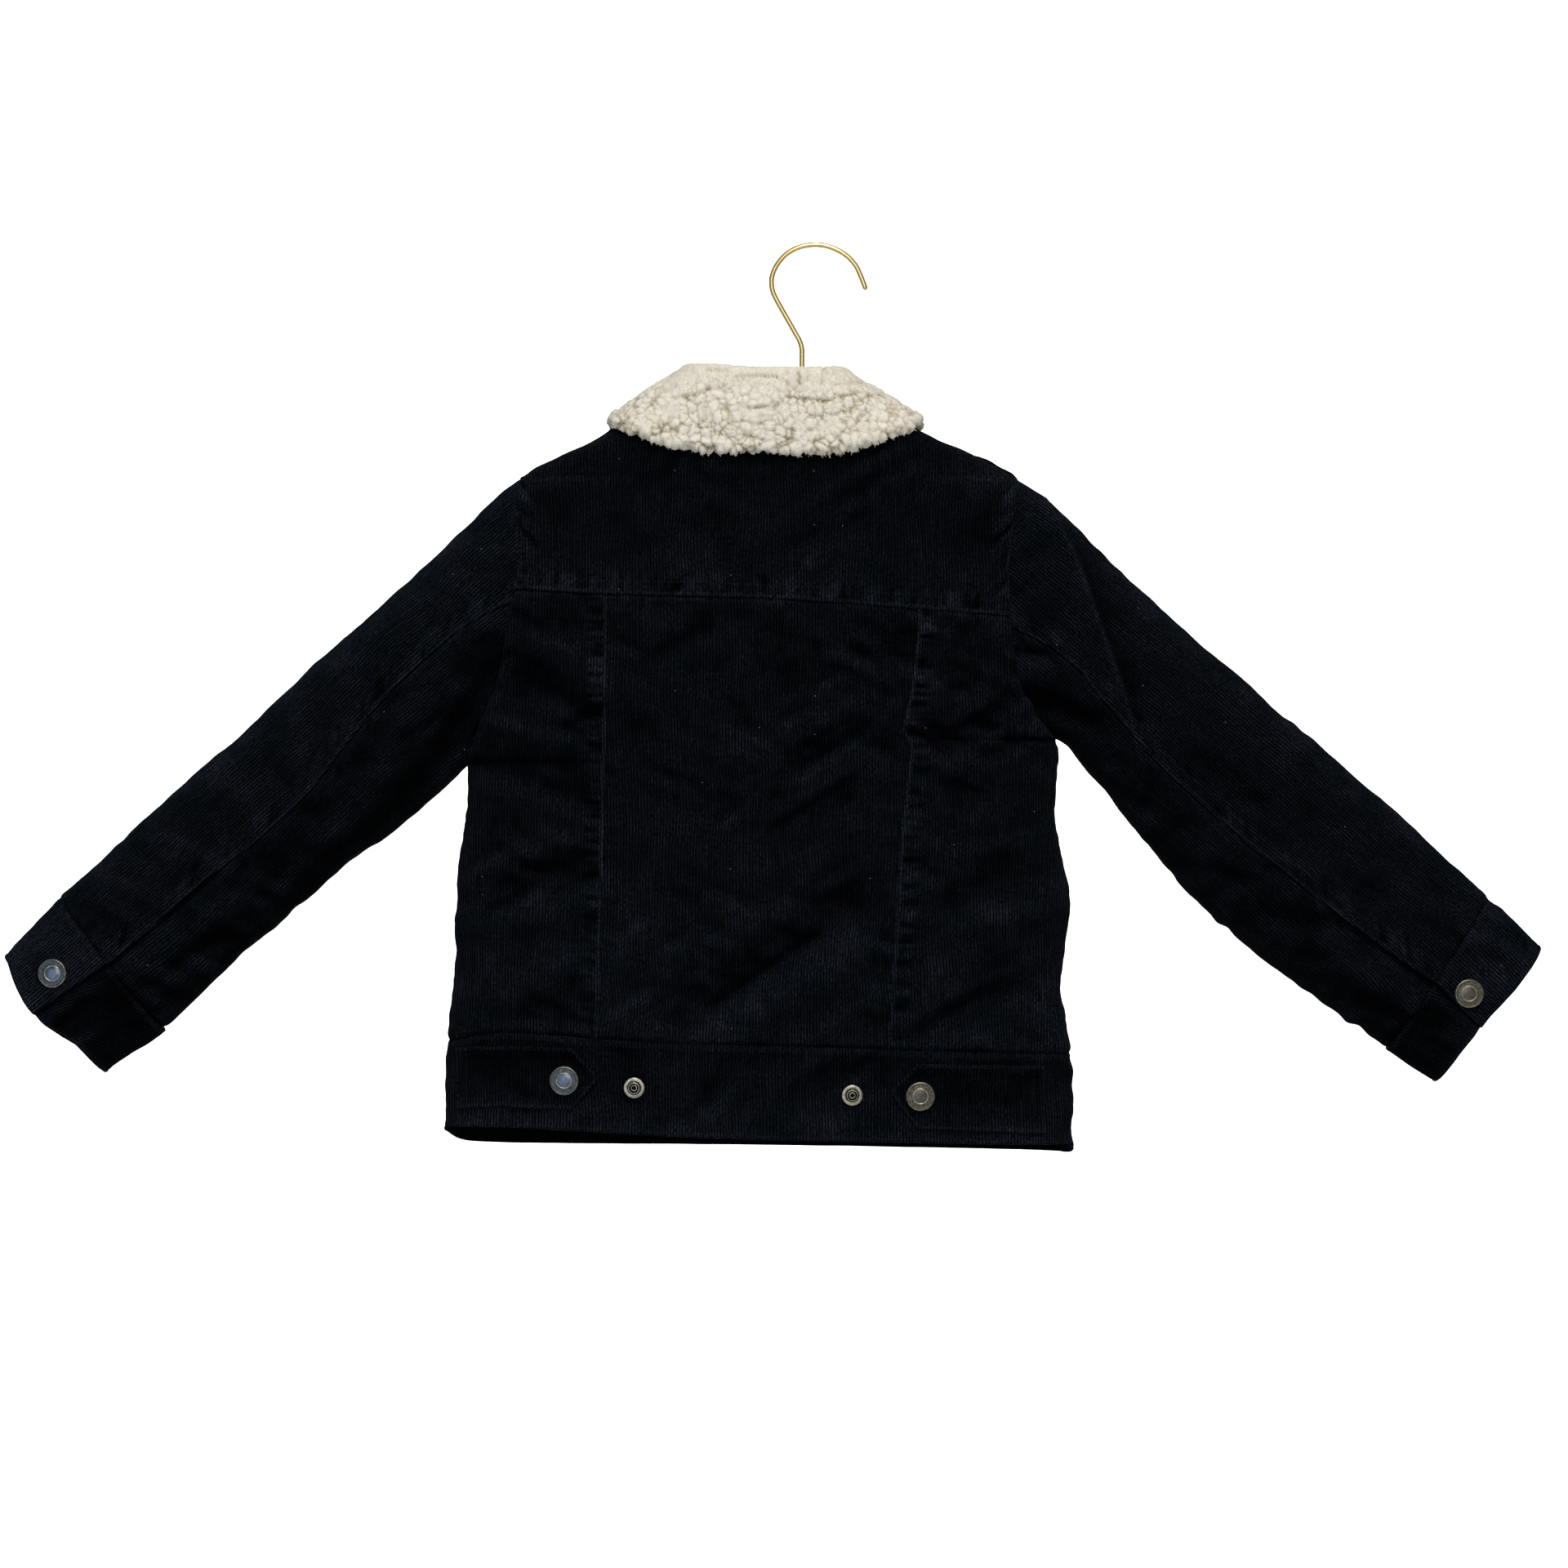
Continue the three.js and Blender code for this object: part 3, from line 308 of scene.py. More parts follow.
def chance(cells, seed):
    """An even random number for each whole-numbered place, the same in every run."""
    n = cells[..., 0] * 73856093 ^ cells[..., 1] * 19349663 ^ cells[...,
                                                                    2] * 83492791 ^ (seed * 7919 + 104729)
    n = (n ^ (n >> 13)) * 1274126177 & 0x7FFFFFFF
    n = (n ^ (n >> 15)) * 668265263 & 0x7FFFFFFF
    return ((n >> 4) & 0xFFFFF) / 0x100000


def soft_noise(points, size, seed):
    """A smooth random height from -1 to 1, whose bumps are about this size."""
    scaled = points / size
    cell = np.floor(scaled).astype(np.int64)
    t = scaled - cell
    t = t * t * (3 - 2 * t)
    total = 0
    for corner in np.ndindex(2, 2, 2):
        weight = np.prod(np.where(np.array(corner) == 1, t, 1 - t), axis=-1)
        total = total + weight * chance(cell + np.array(corner), seed)
    return total * 2 - 1


def tufts(points, size, seed):
    """Round tufts packed side by side: how near each place is to its tuft's top, and to the crack beside
    it."""
    scaled = points / size
    cell = np.floor(scaled).astype(np.int64)
    nearest, second = np.full(points.shape[:-1], 9.0), np.full(points.shape[:-1], 9.0)
    for corner in np.ndindex(3, 3, 3):
        beside = cell + np.array(corner) - 1
        spot = beside + np.stack([chance(beside, seed + k) for k in range(3)], axis=-1)
        away = np.sqrt(((scaled - spot) ** 2).sum(axis=-1))
        second = np.minimum(second, np.maximum(nearest, away))
        nearest = np.minimum(nearest, away)
    return np.sqrt(np.clip(1 - nearest**2 / 0.9, 0, 1)), 1 - smoothstep(0, 0.22, second - nearest)


def blurred(grid, reach):
    """The grid smoothed over a reach in millimetres, so that what stands off it is a fold or a pucker."""
    for axis in (0, 1):
        step = max(float(np.linalg.norm(np.diff(grid, axis=axis), axis=-1).mean()), 0.1)
        kernel = np.hanning(2 * int(reach / step) + 3)[1:-1]
        pad = [(0, 0)] * 3
        pad[axis] = (len(kernel) // 2,) * 2
        padded = np.pad(grid, pad, mode="reflect", reflect_type="odd")
        total = 0
        for k, weight in enumerate(kernel / kernel.sum()):
            part = [slice(None)] * 3
            part[axis] = slice(k, k + grid.shape[axis])
            total = total + weight * padded[tuple(part)]
        grid = total
    return grid


def gap_to(x0, z0, x1, z1, x, z):
    """How far each place is from the line between two others, along x and along z."""
    run_x, run_z = x1 - x0, z1 - z0
    share = np.clip(((x - x0) * run_x + (z - z0) * run_z) / (run_x**2 + run_z**2), 0, 1)
    return x - x0 - share * run_x, z - z0 - share * run_z


def fold_height(folds, x, z):
    height = np.zeros(np.broadcast(x, z).shape)
    for *line, width, tall in folds:
        away = np.hypot(*gap_to(*line, x, z)) / width
        height += tall * np.exp(-away * away)
    return height


# Forms of the body, sleeves and cuffs


def armhole_half(armpit, z, inset):
    middle, half = (SHOULDER_TIP_Z + armpit) / 2, (SHOULDER_TIP_Z - armpit) / 2 - inset
    t = np.minimum(np.abs(z - middle) / half, 1)
    return (ARMHOLE_DEPTH - inset) * (1 - t**SLEEVE_ROUND) ** (1 / SLEEVE_ROUND)


def body_point(face, angle, z, inset=0.0, folds=None):
    """face is -1 for the back and 1 for the front; angle runs from 0 at the right side to PI at the left."""
    angle, z = np.broadcast_arrays(np.asarray(angle, float), np.asarray(z, float))
    left, right = through(BODY, "z", "left", z), through(BODY, "z", "right", z)
    depth = through(BODY, "z", "back" if face < 0 else "front", z) - inset
    across, deep = pressed(angle, BODY_ROUND)
    armpit = np.where(across < 0, ARMPIT_Z["left"], ARMPIT_Z["right"])
    middle, half = (left + right) / 2, (right - left) / 2
    opening = armhole_half(armpit, z, inset)
    closed = 1 - opening / (ARMHOLE_DEPTH - inset)
    x = middle + across * (half - inset * closed)
    if folds is None:
        folds = BACK_FOLDS if face < 0 else FRONT_FOLDS
    fold = fold_height(folds, middle + across * half, z) * deep
    y = opening + (depth - opening) * deep + fold + SEWN / 2
    return np.stack([x, face * y, z], axis=-1)


def body_faces(face, angle, z, folds):
    """The outer and the inner face of the body's cloth."""
    return body_point(face, angle, z, 0, folds), body_point(face, angle, z, BODY_WALL, folds)


def body_angle(x, z):
    left, right = through(BODY, "z", "left", z), through(BODY, "z", "right", z)
    return pressed_angle((x - (left + right) / 2) / ((right - left) / 2), BODY_ROUND)


def body_at(face, x, z, inset=0.0, folds=None):
    return body_point(face, body_angle(x, z), z, inset, folds)


def station(side, at):
    rows = np.array(SLEEVE[side], float)
    table = {"i": np.arange(len(rows)), **{name: rows[:, k] for k, name in enumerate(SECTION)}}
    return {name: through(table, "i", name, at) for name in SECTION}


def section_point(section, angle, inset, folds):
    across, deep = pressed(angle, SLEEVE_ROUND)
    half = np.hypot(section["topX"] - section["underX"], section["topZ"] - section["underZ"]) / 2
    share = 0.5 - 0.5 * across * (half - inset) / half
    x, z = mix(section["topX"], section["underX"], share), mix(section["topZ"], section["underZ"], share)
    fold = fold_height(folds, x, z) * np.maximum(deep, 0)
    return np.stack([x, -(section["depth"] - inset) * deep - fold, z], axis=-1), share


def sleeve_point(side, angle, at, inset, folds):
    point, share = section_point(station(side, at), angle, inset, folds)
    first = dict(zip(SECTION, SLEEVE[side][0]))
    chord_x, chord_z = mix(first["topX"], first["underX"], share), mix(first["topZ"], first["underZ"], share)
    outward = -1 if side == "left" else 1
    bend = through(BODY, "z", side, chord_z) - chord_x - outward * SLEEVE_TURNED_IN
    point[..., 0] += bend * np.maximum(0, 1 - at / 1.6) ** 2
    head = SHOULDER_CAP[side] * np.exp(-(((at - 0.5) / 0.42) ** 2)) * smoothstep(0.45, 0.05, share)
    return point + head[..., None] * unit(np.array([-outward * -0.63, 0.0, 0.78]))


def cuff_section(side, share):
    start, end = np.array(SLEEVE[side][-1], float), np.array(CUFF_END[side], float)
    length = math.hypot(end[0] - start[0], end[1] - start[1])
    t = mix(-CUFF_TUCK / length, 1, np.asarray(share, float))
    return {name: mix(start[k], end[k], t) for k, name in enumerate(SECTION)}


# Grids: rows of points that become a piece of cloth

EDGE_STEPS = [0, 0.4, 0.9, 1.5, 2.2, 3.0, 4.2, 5.6, 7.0, 7.7, 8.4, 9.4]


def shares_of(length, step, near=True, far=True):
    """Places along a length, closer together beside its seams."""
    steps = np.array([s for s in EDGE_STEPS if s < length / 2.2]) / length
    low, high = (steps[-1] if near else 0), (1 - steps[-1] if far else 1)
    inner = np.linspace(low, high, max(3, int((high - low) * length / step)))
    parts = ([steps[:-1]] if near else []) + [inner] + ([1 - steps[:-1][::-1]] if far else [])
    return np.concatenate(parts)


def unit(vectors):
    return vectors / np.maximum(np.linalg.norm(vectors, axis=-1, keepdims=True), 1e-9)


def normals_of(grid, outward):
    normal = unit(np.cross(np.gradient(grid, axis=1), np.gradient(grid, axis=0)))
    flip = np.sign((normal * outward).sum(axis=-1).mean()) or 1
    return normal * flip


def ways(grid, axis):
    """How far each point lies from the grid's first row or column, along the cloth."""
    steps = np.linalg.norm(np.diff(grid, axis=axis), axis=-1)
    pad = [(0, 0), (0, 0)]
    pad[axis] = (1, 0)
    return np.cumsum(np.pad(steps, pad), axis=axis)


def run_along(points):
    """How far each point lies along the line that they make."""
    return np.concatenate([[0], np.cumsum(np.linalg.norm(np.diff(points, axis=0), axis=1))])


def edges_of(grid):
    across, down = ways(grid, 1), ways(grid, 0)
    return {"left": across, "right": across[:, -1:] - across, "top": down, "bottom": down[-1:] - down}


def flat_cut(grid, grain, start):
    """Lays the cloth flat. grain is the way its wales run, and start is the column that keeps its own
    place."""
    grain = np.array(grain, float) / np.linalg.norm(grain)
    cross = np.array([-grain[2], 0, grain[0]])
    step = np.diff(grid, axis=1)
    along_grain = step @ grain
    across_grain = step @ cross
    facing = np.sign(across_grain[:, max(min(start, step.shape[1] - 1), 0)].mean()) or 1
    turned = facing * np.hypot(across_grain, step[..., 1])
    across = np.pad(np.cumsum(turned, axis=1), ((0, 0), (1, 0)))
    down = np.pad(np.cumsum(along_grain, axis=1), ((0, 0), (1, 0)))
    across += (grid[:, start] @ cross)[:, None] - across[:, start : start + 1]
    down += (grid[:, start] @ grain)[:, None] - down[:, start : start + 1]
    return np.stack([across, down], axis=-1)


# Beside each kind of seam, in millimetres: humps of the cloth, and of how much lighter or darker its colour
# is made there, each as a size, a distance from the edge and a width; the pitch and gain of the rungs that
# topstitching pulls across the strip beside it, which are also painted in light and dark bars; and the size,
# length, seed step, distance and width of looser puckers. The colour humps are partly the pile rubbed lighter
# along the seams and partly painted light: painted highlights along the edges, and a painted shadow in the
# seam that lies under the next piece. One that ends at the shoulder fades there.
SEAMS = {
    "over": {"relief": [(0.5, 0, 10), (-0.5, 0, 0.9), (-0.25, 1.9, 0.7)],
             "rub_and_painted_light": [(1.9, 0.9, 0.7), (1.0, 2.2, 0.6)],
             "rungs": (2.4, 1.0), "fades": True},
    "banded": {"relief": [(-0.5, 0, 0.9), (-0.25, 1.9, 0.7)], "rub_and_painted_light": [(1.1, 0.9, 0.7), (0.9, 2.9, 0.6)],
               "pucker": (0.3, 6, 0, 4, 4)},
    "under": {"relief": [(-0.9, 0, 1.7)], "rub_and_painted_light": [(-0.55, 0, 1.1)], "pucker": (0.9, 5.0, 9, 5, 4.5)},
    "joined": {"relief": [(-0.4, 0, 1.4)], "pucker": (0.6, 5.0, 9, 5, 4.5), "fades": True},
    "free": {"relief": [(-0.25, 6, 3), (-0.35, 3.0, 0.7)], "rub_and_painted_light": [(0.7, 1.3, 0.8), (0.4, 3.4, 0.6)],
             "rounded": 1.7},
}
SEAMS["felled"] = {**SEAMS["over"], "rungs": (3.3, 1.5)}


def hump(d, middle, width):
    return np.exp(-(((d - middle) / width) ** 2))


def seam_relief(grid, kinds, seed):
    """How the cloth lies beside its seams (over the next piece, under it, just joined to it, or free), and
    how much lighter or darker its colour is made there: the pile rubbed lighter, with painted highlights
    along the edges and painted shadow in the seams."""
    edges = edges_of(grid)
    relief, rub_and_painted_light = np.zeros(grid.shape[:2]), np.zeros(grid.shape[:2])
    below_tip = 1 - smoothstep(SHOULDER_TIP_Z - 4, SHOULDER_TIP_Z + 4, grid[..., 2])
    for name, kind in kinds.items():
        seam, d = SEAMS[kind], edges[name]
        run = ways(grid, 0) if name in ("left", "right") else ways(grid, 1)
        place = np.stack([run, d * 0.14, np.full_like(run, seed * 31.7)], axis=-1)
        raised = sum(tall * hump(d, middle, width) for tall, middle, width in seam["relief"])
        rub_and_painted_light += sum(light * hump(d, middle, width) for light, middle, width in seam.get("rub_and_painted_light", []))
        if "rungs" in seam:
            pitch, gain = seam["rungs"]
            strip = smoothstep(0.8, 3.5, d) * (1 - smoothstep(9, 14, d)) * gain
            raised += strip * (soft_noise(place, pitch, seed) * 1.2 + soft_noise(place, 7.5, seed + 5) * 0.9)
            rub_and_painted_light += strip * (0.15 + soft_noise(place + 50, pitch, seed)) * 1.2
        if "pucker" in seam:
            tall, length, seed_step, middle, width = seam["pucker"]
            raised += tall * soft_noise(place, length, seed + seed_step) * hump(d, middle, width)
        if "rounded" in seam:
            inside = np.clip(1 - d / seam["rounded"], 0, 1)
            raised -= seam["rounded"] * (1 - np.sqrt(1 - inside**2))
        relief += raised * (below_tip if seam.get("fades") else 1)
    return relief, rub_and_painted_light


FOLD_REACH = 15  # what stands off the cloth smoothed over this reach is a fold or a pucker
LIT_BY_HEIGHT, LIT_BY_SLOPE = 0.4, 1.9  # how much painted light a millimetre of height and an upward slope add to the pile's colour
# the least and the most of that painted light, as a share of the pile's colour
PAINTED_LIGHT_FROM, PAINTED_LIGHT_TO = 0.12, 3.2


def painted_light_of(shaped, normal, rub_and_painted_light):
    """Painted light and shade on the pile: lighter on a fold's top and on slopes that face up, darker in its
    hollows, with the seams' own marks added."""
    tall = ((shaped - blurred(shaped, FOLD_REACH)) * normal).sum(axis=-1)
    slope = (normal - blurred(normal, FOLD_REACH))[..., 2]
    return np.clip(1 + LIT_BY_HEIGHT * tall + LIT_BY_SLOPE * slope + rub_and_painted_light, PAINTED_LIGHT_FROM, PAINTED_LIGHT_TO)


def beside_fold(grid):
    """How high the cloth lies beside the right sleeve's shoulder fold, and the painted highlight on the
    fold's edge and painted shadow below it. The side towards the body lies on top."""
    x, z = grid[..., 0], grid[..., 2]
    off = np.full(x.shape, 1000.0)
    for (x0, z0), (x1, z1) in zip(SHOULDER_FOLD, SHOULDER_FOLD[1:]):
        gap_x, gap_z = gap_to(x0, z0, x1, z1, x, z)
        here = np.hypot(gap_x, gap_z) * np.where((x1 - x0) * gap_z - (z1 - z0) * gap_x > 0, 1, -1)
        off = np.where(np.abs(here) < np.abs(off), here, off)
    strength = smoothstep(0, -6, grid[..., 1]) * smoothstep(-300, -255, z)
    raised = -1.6 * np.tanh(off / 1.3) * np.exp(-np.abs(off) / 8)
    # painted light: a highlight along the edge of the side that lies on top, and a painted shadow on the side
    # under it
    lit = 1.3 * np.exp(-(((off + 1.6) / 1.4) ** 2)) - 0.6 * np.exp(-off / 7) * smoothstep(-0.8, 1.2, off)
    return strength * raised, strength * lit


def wrinkles(grid, seed):
    """Long shallow creases that run slantwise, here and there."""
    total = 0
    for number, (slant, gain) in enumerate(((0.55, 1.5), (-0.45, 1.3), (1.15, 0.9))):
        along = grid[..., 0] * math.cos(slant) + grid[..., 2] * math.sin(slant)
        across = grid[..., 2] * math.cos(slant) - grid[..., 0] * math.sin(slant)
        place = np.stack([along / 4.2, across, grid[..., 1] * 0.3 + number * 400], axis=-1)
        where = smoothstep(-0.15, 0.45, soft_noise(grid + number * 300, 46, seed + 17))
        total = total + gain * where * soft_noise(place, 7.5, seed + number)
    return total


def line_on(grid, normal, edge, distance, skip=(0.0, 0.0)):
    """The line that runs beside an edge of the cloth at a distance, where a row of stitches goes."""
    if edge in ("top", "bottom"):
        grid, normal = grid.transpose(1, 0, 2), normal.transpose(1, 0, 2)
    if edge in ("right", "bottom"):
        grid, normal = grid[:, ::-1], normal[:, ::-1]
    rows = range(int(skip[0] * len(grid)), int((1 - skip[1]) * len(grid)))
    reach = ways(grid, 1)
    points = np.array([[np.interp(distance, reach[r], grid[r, :, k]) for k in range(3)] for r in rows])
    facing = np.array([[np.interp(distance, reach[r], normal[r, :, k]) for k in range(3)] for r in rows])
    return points, unit(facing)


# Meshes


def settle(piece, node):
    """Hangs this piece on the frame's root and hides the CAD piece that it stands for."""
    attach(piece, "root")
    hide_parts(node)


def new_mesh(name, points, quads, finishes, finish_of=None, cut=None, marks=None):
    mesh = bpy.data.meshes.new(name)
    quads = np.asarray(quads, np.int32).reshape(-1, 4)
    mesh.vertices.add(len(points))
    mesh.vertices.foreach_set("co", (np.asarray(points) * MM).astype(np.float32).ravel())
    mesh.loops.add(quads.size)
    mesh.loops.foreach_set("vertex_index", quads.ravel())
    mesh.polygons.add(len(quads))
    mesh.polygons.foreach_set("loop_start", np.arange(0, quads.size, 4, dtype=np.int32))
    if finish_of is not None:
        mesh.polygons.foreach_set("material_index", np.asarray(finish_of, np.int32))
    mesh.polygons.foreach_set("use_smooth", np.ones(len(quads), bool))
    mesh.update(calc_edges=True)
    if cut is not None:
        layer = mesh.uv_layers.new(name="cut")
        layer.data.foreach_set("uv", (np.asarray(cut) * MM)[quads.ravel()].astype(np.float32).ravel())
    for mark, values in (marks or {}).items():
        layer = mesh.attributes.new(mark, "FLOAT", "POINT")
        layer.data.foreach_set("value", np.asarray(values, np.float32))
    mesh.validate()
    for finish in finishes:
        mesh.materials.append(finish)
    piece = bpy.data.objects.new(name, mesh)
    bpy.context.scene.collection.objects.link(piece)
    return piece


def grid_quads(rows, columns, first=0, back=False):
    v, u = np.meshgrid(np.arange(rows - 1), np.arange(columns - 1), indexing="ij")
    a = first + v * columns + u
    quads = np.stack([a, a + 1, a + columns + 1, a + columns], axis=-1).reshape(-1, 4)
    return quads[:, ::-1] if back else quads


def strip_quads(outer, inner):
    return np.stack([outer[:-1], inner[:-1], inner[1:], outer[1:]], axis=-1)


def facing_out(points, quads):
    a, b, c, d = (points[quads[:, k]] for k in range(4))
    volume = (a * np.cross(b, c)).sum() + (a * np.cross(c, d)).sum()
    return quads if volume > 0 else quads[:, ::-1]


def cloth_wall(name, outer, inner, cut, finishes, marks):
    """A closed piece of cloth between its outer face and its inner one."""
    rows, columns = outer.shape[:2]
    count = rows * columns
    index = np.arange(count).reshape(rows, columns)
    faces = [grid_quads(rows, columns), grid_quads(rows, columns, count, True)]
    rim = [index[0], index[:, -1], index[-1][::-1], index[:, 0][::-1]]
    faces += [strip_quads(line, line + count) for line in rim]
    quads = np.concatenate(faces)
    points = np.concatenate([outer.reshape(-1, 3), inner.reshape(-1, 3)])
    finish_of = np.zeros(len(quads), int)
    finish_of[len(faces[0]) : len(faces[0]) + len(faces[1])] = 1
    quads = facing_out(points, quads)
    cuts = np.concatenate([cut.reshape(-1, 2)] * 2)
    return new_mesh(name, points, quads, finishes, finish_of, cuts, marks)


# Finishes


def colour(code):
    """An sRGB hex colour as the linear one that a material takes."""
    parts = [int(code[i : i + 2], 16) / 255 for i in (1, 3, 5)]
    return (*[c / 12.92 if c <= 0.04045 else ((c + 0.055) / 1.055) ** 2.4 for c in parts], 1)


def add(tree, kind, inputs=(), output=0, **settings):
    """Adds a node with its settings and its inputs, as values or links, and gives one of its outputs."""
    node = tree.nodes.new("ShaderNode" + kind)
    for setting, value in settings.items():
        setattr(node, setting, value)
    for socket, value in inputs.items() if isinstance(inputs, dict) else enumerate(inputs):
        if isinstance(value, bpy.types.NodeSocket):
            tree.links.new(value, node.inputs[socket])
        else:
            node.inputs[socket].default_value = value
    return node.outputs[output]


def new_finish(name, **sockets):
    """A material, with those of its shader's sockets set that are the same all over the surface."""
    material = bpy.data.materials.new(name)
    material.use_nodes = True
    for socket, value in sockets.items():
        material.node_tree.nodes["Principled BSDF"].inputs[socket.replace("_", " ")].default_value = value
    return material, material.node_tree


def surface(tree, tone, relief=None, depth=0.0, strength=0.0, roughness=None):
    """Joins a finish's colour, its relief, whose depth is in millimetres, and its roughness to the shader."""
    shader = tree.nodes["Principled BSDF"]
    tree.links.new(tone, shader.inputs["Base Color"])
    if roughness is not None:
        tree.links.new(roughness, shader.inputs["Roughness"])
    if relief is not None:
        bump = add(tree, "Bump", {"Height": relief, "Distance": depth * MM, "Strength": strength})
        tree.links.new(bump, shader.inputs["Normal"])


SHARE, FIRST, SECOND, MIXED = 0, 6, 7, 2  # the sockets of a node that mixes two colours


def clouded(tree, scale, detail, dark, light):
    """Where the surface is, a cloud that stays with it there, and a colour that goes between two with the
    cloud."""
    place = add(tree, "TexCoord", (), "Object")
    cloud = add(tree, "TexNoise", {"Vector": place, "Scale": scale, "Detail": detail})
    pair = {SHARE: cloud, FIRST: colour(dark), SECOND: colour(light)}
    return place, cloud, add(tree, "Mix", pair, MIXED, data_type="RGBA")


WALE = 1.81 * MM  # 14 wales to the inch
WALE_DRIFT, WALE_WIGGLE = 5.0, 0.35  # how many wales the lines wander, slowly and quickly
DARKEST = 0.08  # the least light that the pile gives back, as a share of its colour


def corduroy_finish():
    """Fine-wale cotton corduroy: cut pile stands in round ridges with bare ground between them, dull black.
    The pile leans this way and that, so the wales come and go in patches, and specks of lint are caught in
    it. Its colour also carries painted light and shade from the cloth's folds and seams."""
    material, tree = new_finish(
        "black_cotton_corduroy", Roughness=0.92, Sheen_Weight=0.012, Sheen_Roughness=0.5,
        Sheen_Tint=colour("#8c98b4"), Specular_IOR_Level=0.015,
    )
    cut = add(tree, "UVMap", uv_map="cut")
    short = add(tree, "Mapping", {"Vector": cut, "Scale": (1000.0, 560.0, 1.0)})
    long = add(tree, "Mapping", {"Vector": cut, "Scale": (420.0, 52.0, 1.0)})
    cloud = {}
    for name, place, scale, detail, roughness in (
        ("drift", cut, 14.0, 1.0, 0.5), ("wiggle", cut, 60.0, 1.0, 0.5), ("nap", cut, 34.0, 3.0, 0.55),
        ("frost", cut, 85.0, 4.0, 0.65), ("tufted", short, 1.0, 2.0, 0.5), ("streak", long, 1.0, 2.0, 0.6),
    ):
        inputs = {"Vector": place, "Scale": scale, "Detail": detail, "Roughness": roughness}
        cloud[name] = add(tree, "TexNoise", inputs)
    centred = -(WALE_DRIFT + WALE_WIGGLE) / 2
    wale = add(tree, "Math", (add(tree, "SeparateXYZ", (cut,)), 1 / WALE, centred), operation="MULTIPLY_ADD")
    for name, reach in (("drift", WALE_DRIFT), ("wiggle", WALE_WIGGLE)):
        wale = add(tree, "Math", (cloud[name], reach, wale), operation="MULTIPLY_ADD")
    for operation, *values in (("FRACT",), ("MULTIPLY_ADD", 2.0, -1.0), ("ABSOLUTE",), ("POWER", 1.7)):
        wale = add(tree, "Math", (wale, *values), operation=operation)
    ridge = add(tree, "Math", (1.0, wale), operation="SUBTRACT", use_clamp=True)
    lit = add(tree, "Math", (cloud["nap"], 2.8, -0.9), operation="MULTIPLY_ADD", use_clamp=True)
    frost = add(tree, "Math", (cloud["frost"], 4.0, -2.24), operation="MULTIPLY_ADD", use_clamp=True)
    frost = add(tree, "Math", (frost, 0.6), operation="MULTIPLY")
    crown = add(tree, "Math", (ridge, 1.7), operation="POWER")
    tone = colour("#080e12")
    for share, first, second in ((lit, None, "#101218"), (frost, None, "#1b1c1f"), (crown, "#010102", None)):
        pair = {FIRST: colour(first) if first else tone, SECOND: colour(second) if second else tone}
        tone = add(tree, "Mix", {SHARE: share, **pair}, MIXED, data_type="RGBA")
    # painted light and shade from the cloth's folds, seams and pieces, which the clouds below vary at random
    shade = add(tree, "Attribute", (), "Fac", attribute_name="painted_light")
    for name, gain, middle in (("tufted", 4.6, 0.95), ("streak", 1.7, 1.0), ("nap", 0.9, 1.0)):
        light = add(tree, "Math", (cloud[name], gain, middle - gain / 2), operation="MULTIPLY_ADD")
        light = add(tree, "Math", (light, DARKEST), operation="MAXIMUM")
        shade = add(tree, "Math", (shade, light), operation="MULTIPLY")
    shaded = {SHARE: 1.0, FIRST: tone, SECOND: shade}
    tone = add(tree, "Mix", shaded, MIXED, data_type="RGBA", blend_type="MULTIPLY")
    lint = add(tree, "TexVoronoi", {"Vector": cut, "Scale": 62.0}, "Distance", voronoi_dimensions="2D")
    close = add(tree, "Math", (lint, 0.018), operation="LESS_THAN")
    picked = add(tree, "SeparateColor", (lint.node.outputs["Color"],))
    picked = add(tree, "Math", (picked, 0.95), operation="GREATER_THAN")
    speck = add(tree, "Math", (close, picked), operation="MULTIPLY")
    tone = add(tree, "Mix", {SHARE: speck, FIRST: tone, SECOND: colour("#6c6c70")}, MIXED, data_type="RGBA")
    relief = add(tree, "Math", (cloud["tufted"], 0.3, ridge), operation="MULTIPLY_ADD")
    surface(tree, tone, relief, 0.5, 0.8)
    return material


def sherpa_finish():
    """Polyester sherpa pile: cream curls matted into tufts, quite without gloss. Its colour goes from cream
    on the tufts to tan in the cracks, which is painted shade."""
    material, tree = new_finish(
        "cream_sherpa_pile", Roughness=1.0, Sheen_Weight=0.12, Sheen_Roughness=0.6,
        Sheen_Tint=colour("#fff6e4"), Specular_IOR_Level=0.08,
    )
    place, _, light = clouded(tree, 42.0, 3.0, "#eae5d9", "#e0d8c6")
    pile = add(tree, "Attribute", (), "Fac", attribute_name="pile")
    curls = add(tree, "TexNoise", {"Vector": place, "Scale": 700.0, "Detail": 3.0, "Distortion": 1.4})
    height = add(tree, "Math", (curls, 0.5, pile), operation="MULTIPLY_ADD")
    height = add(tree, "Math", (height, 0.25), operation="SUBTRACT", use_clamp=True)
    height = add(tree, "Math", (height, 0.45), operation="POWER")
    # painted shade: darker tan where the pile sinks into its cracks
    tone = add(tree, "Mix", {SHARE: height, FIRST: colour("#a39679"), SECOND: light}, MIXED, data_type="RGBA")
    fleck = add(tree, "Math", (curls, 0.5, 0.76), operation="MULTIPLY_ADD")
    flecked = {SHARE: 1.0, FIRST: tone, SECOND: fleck}
    tone = add(tree, "Mix", flecked, MIXED, data_type="RGBA", blend_type="MULTIPLY")
    surface(tree, tone, curls, 0.7, 0.7)
    return material


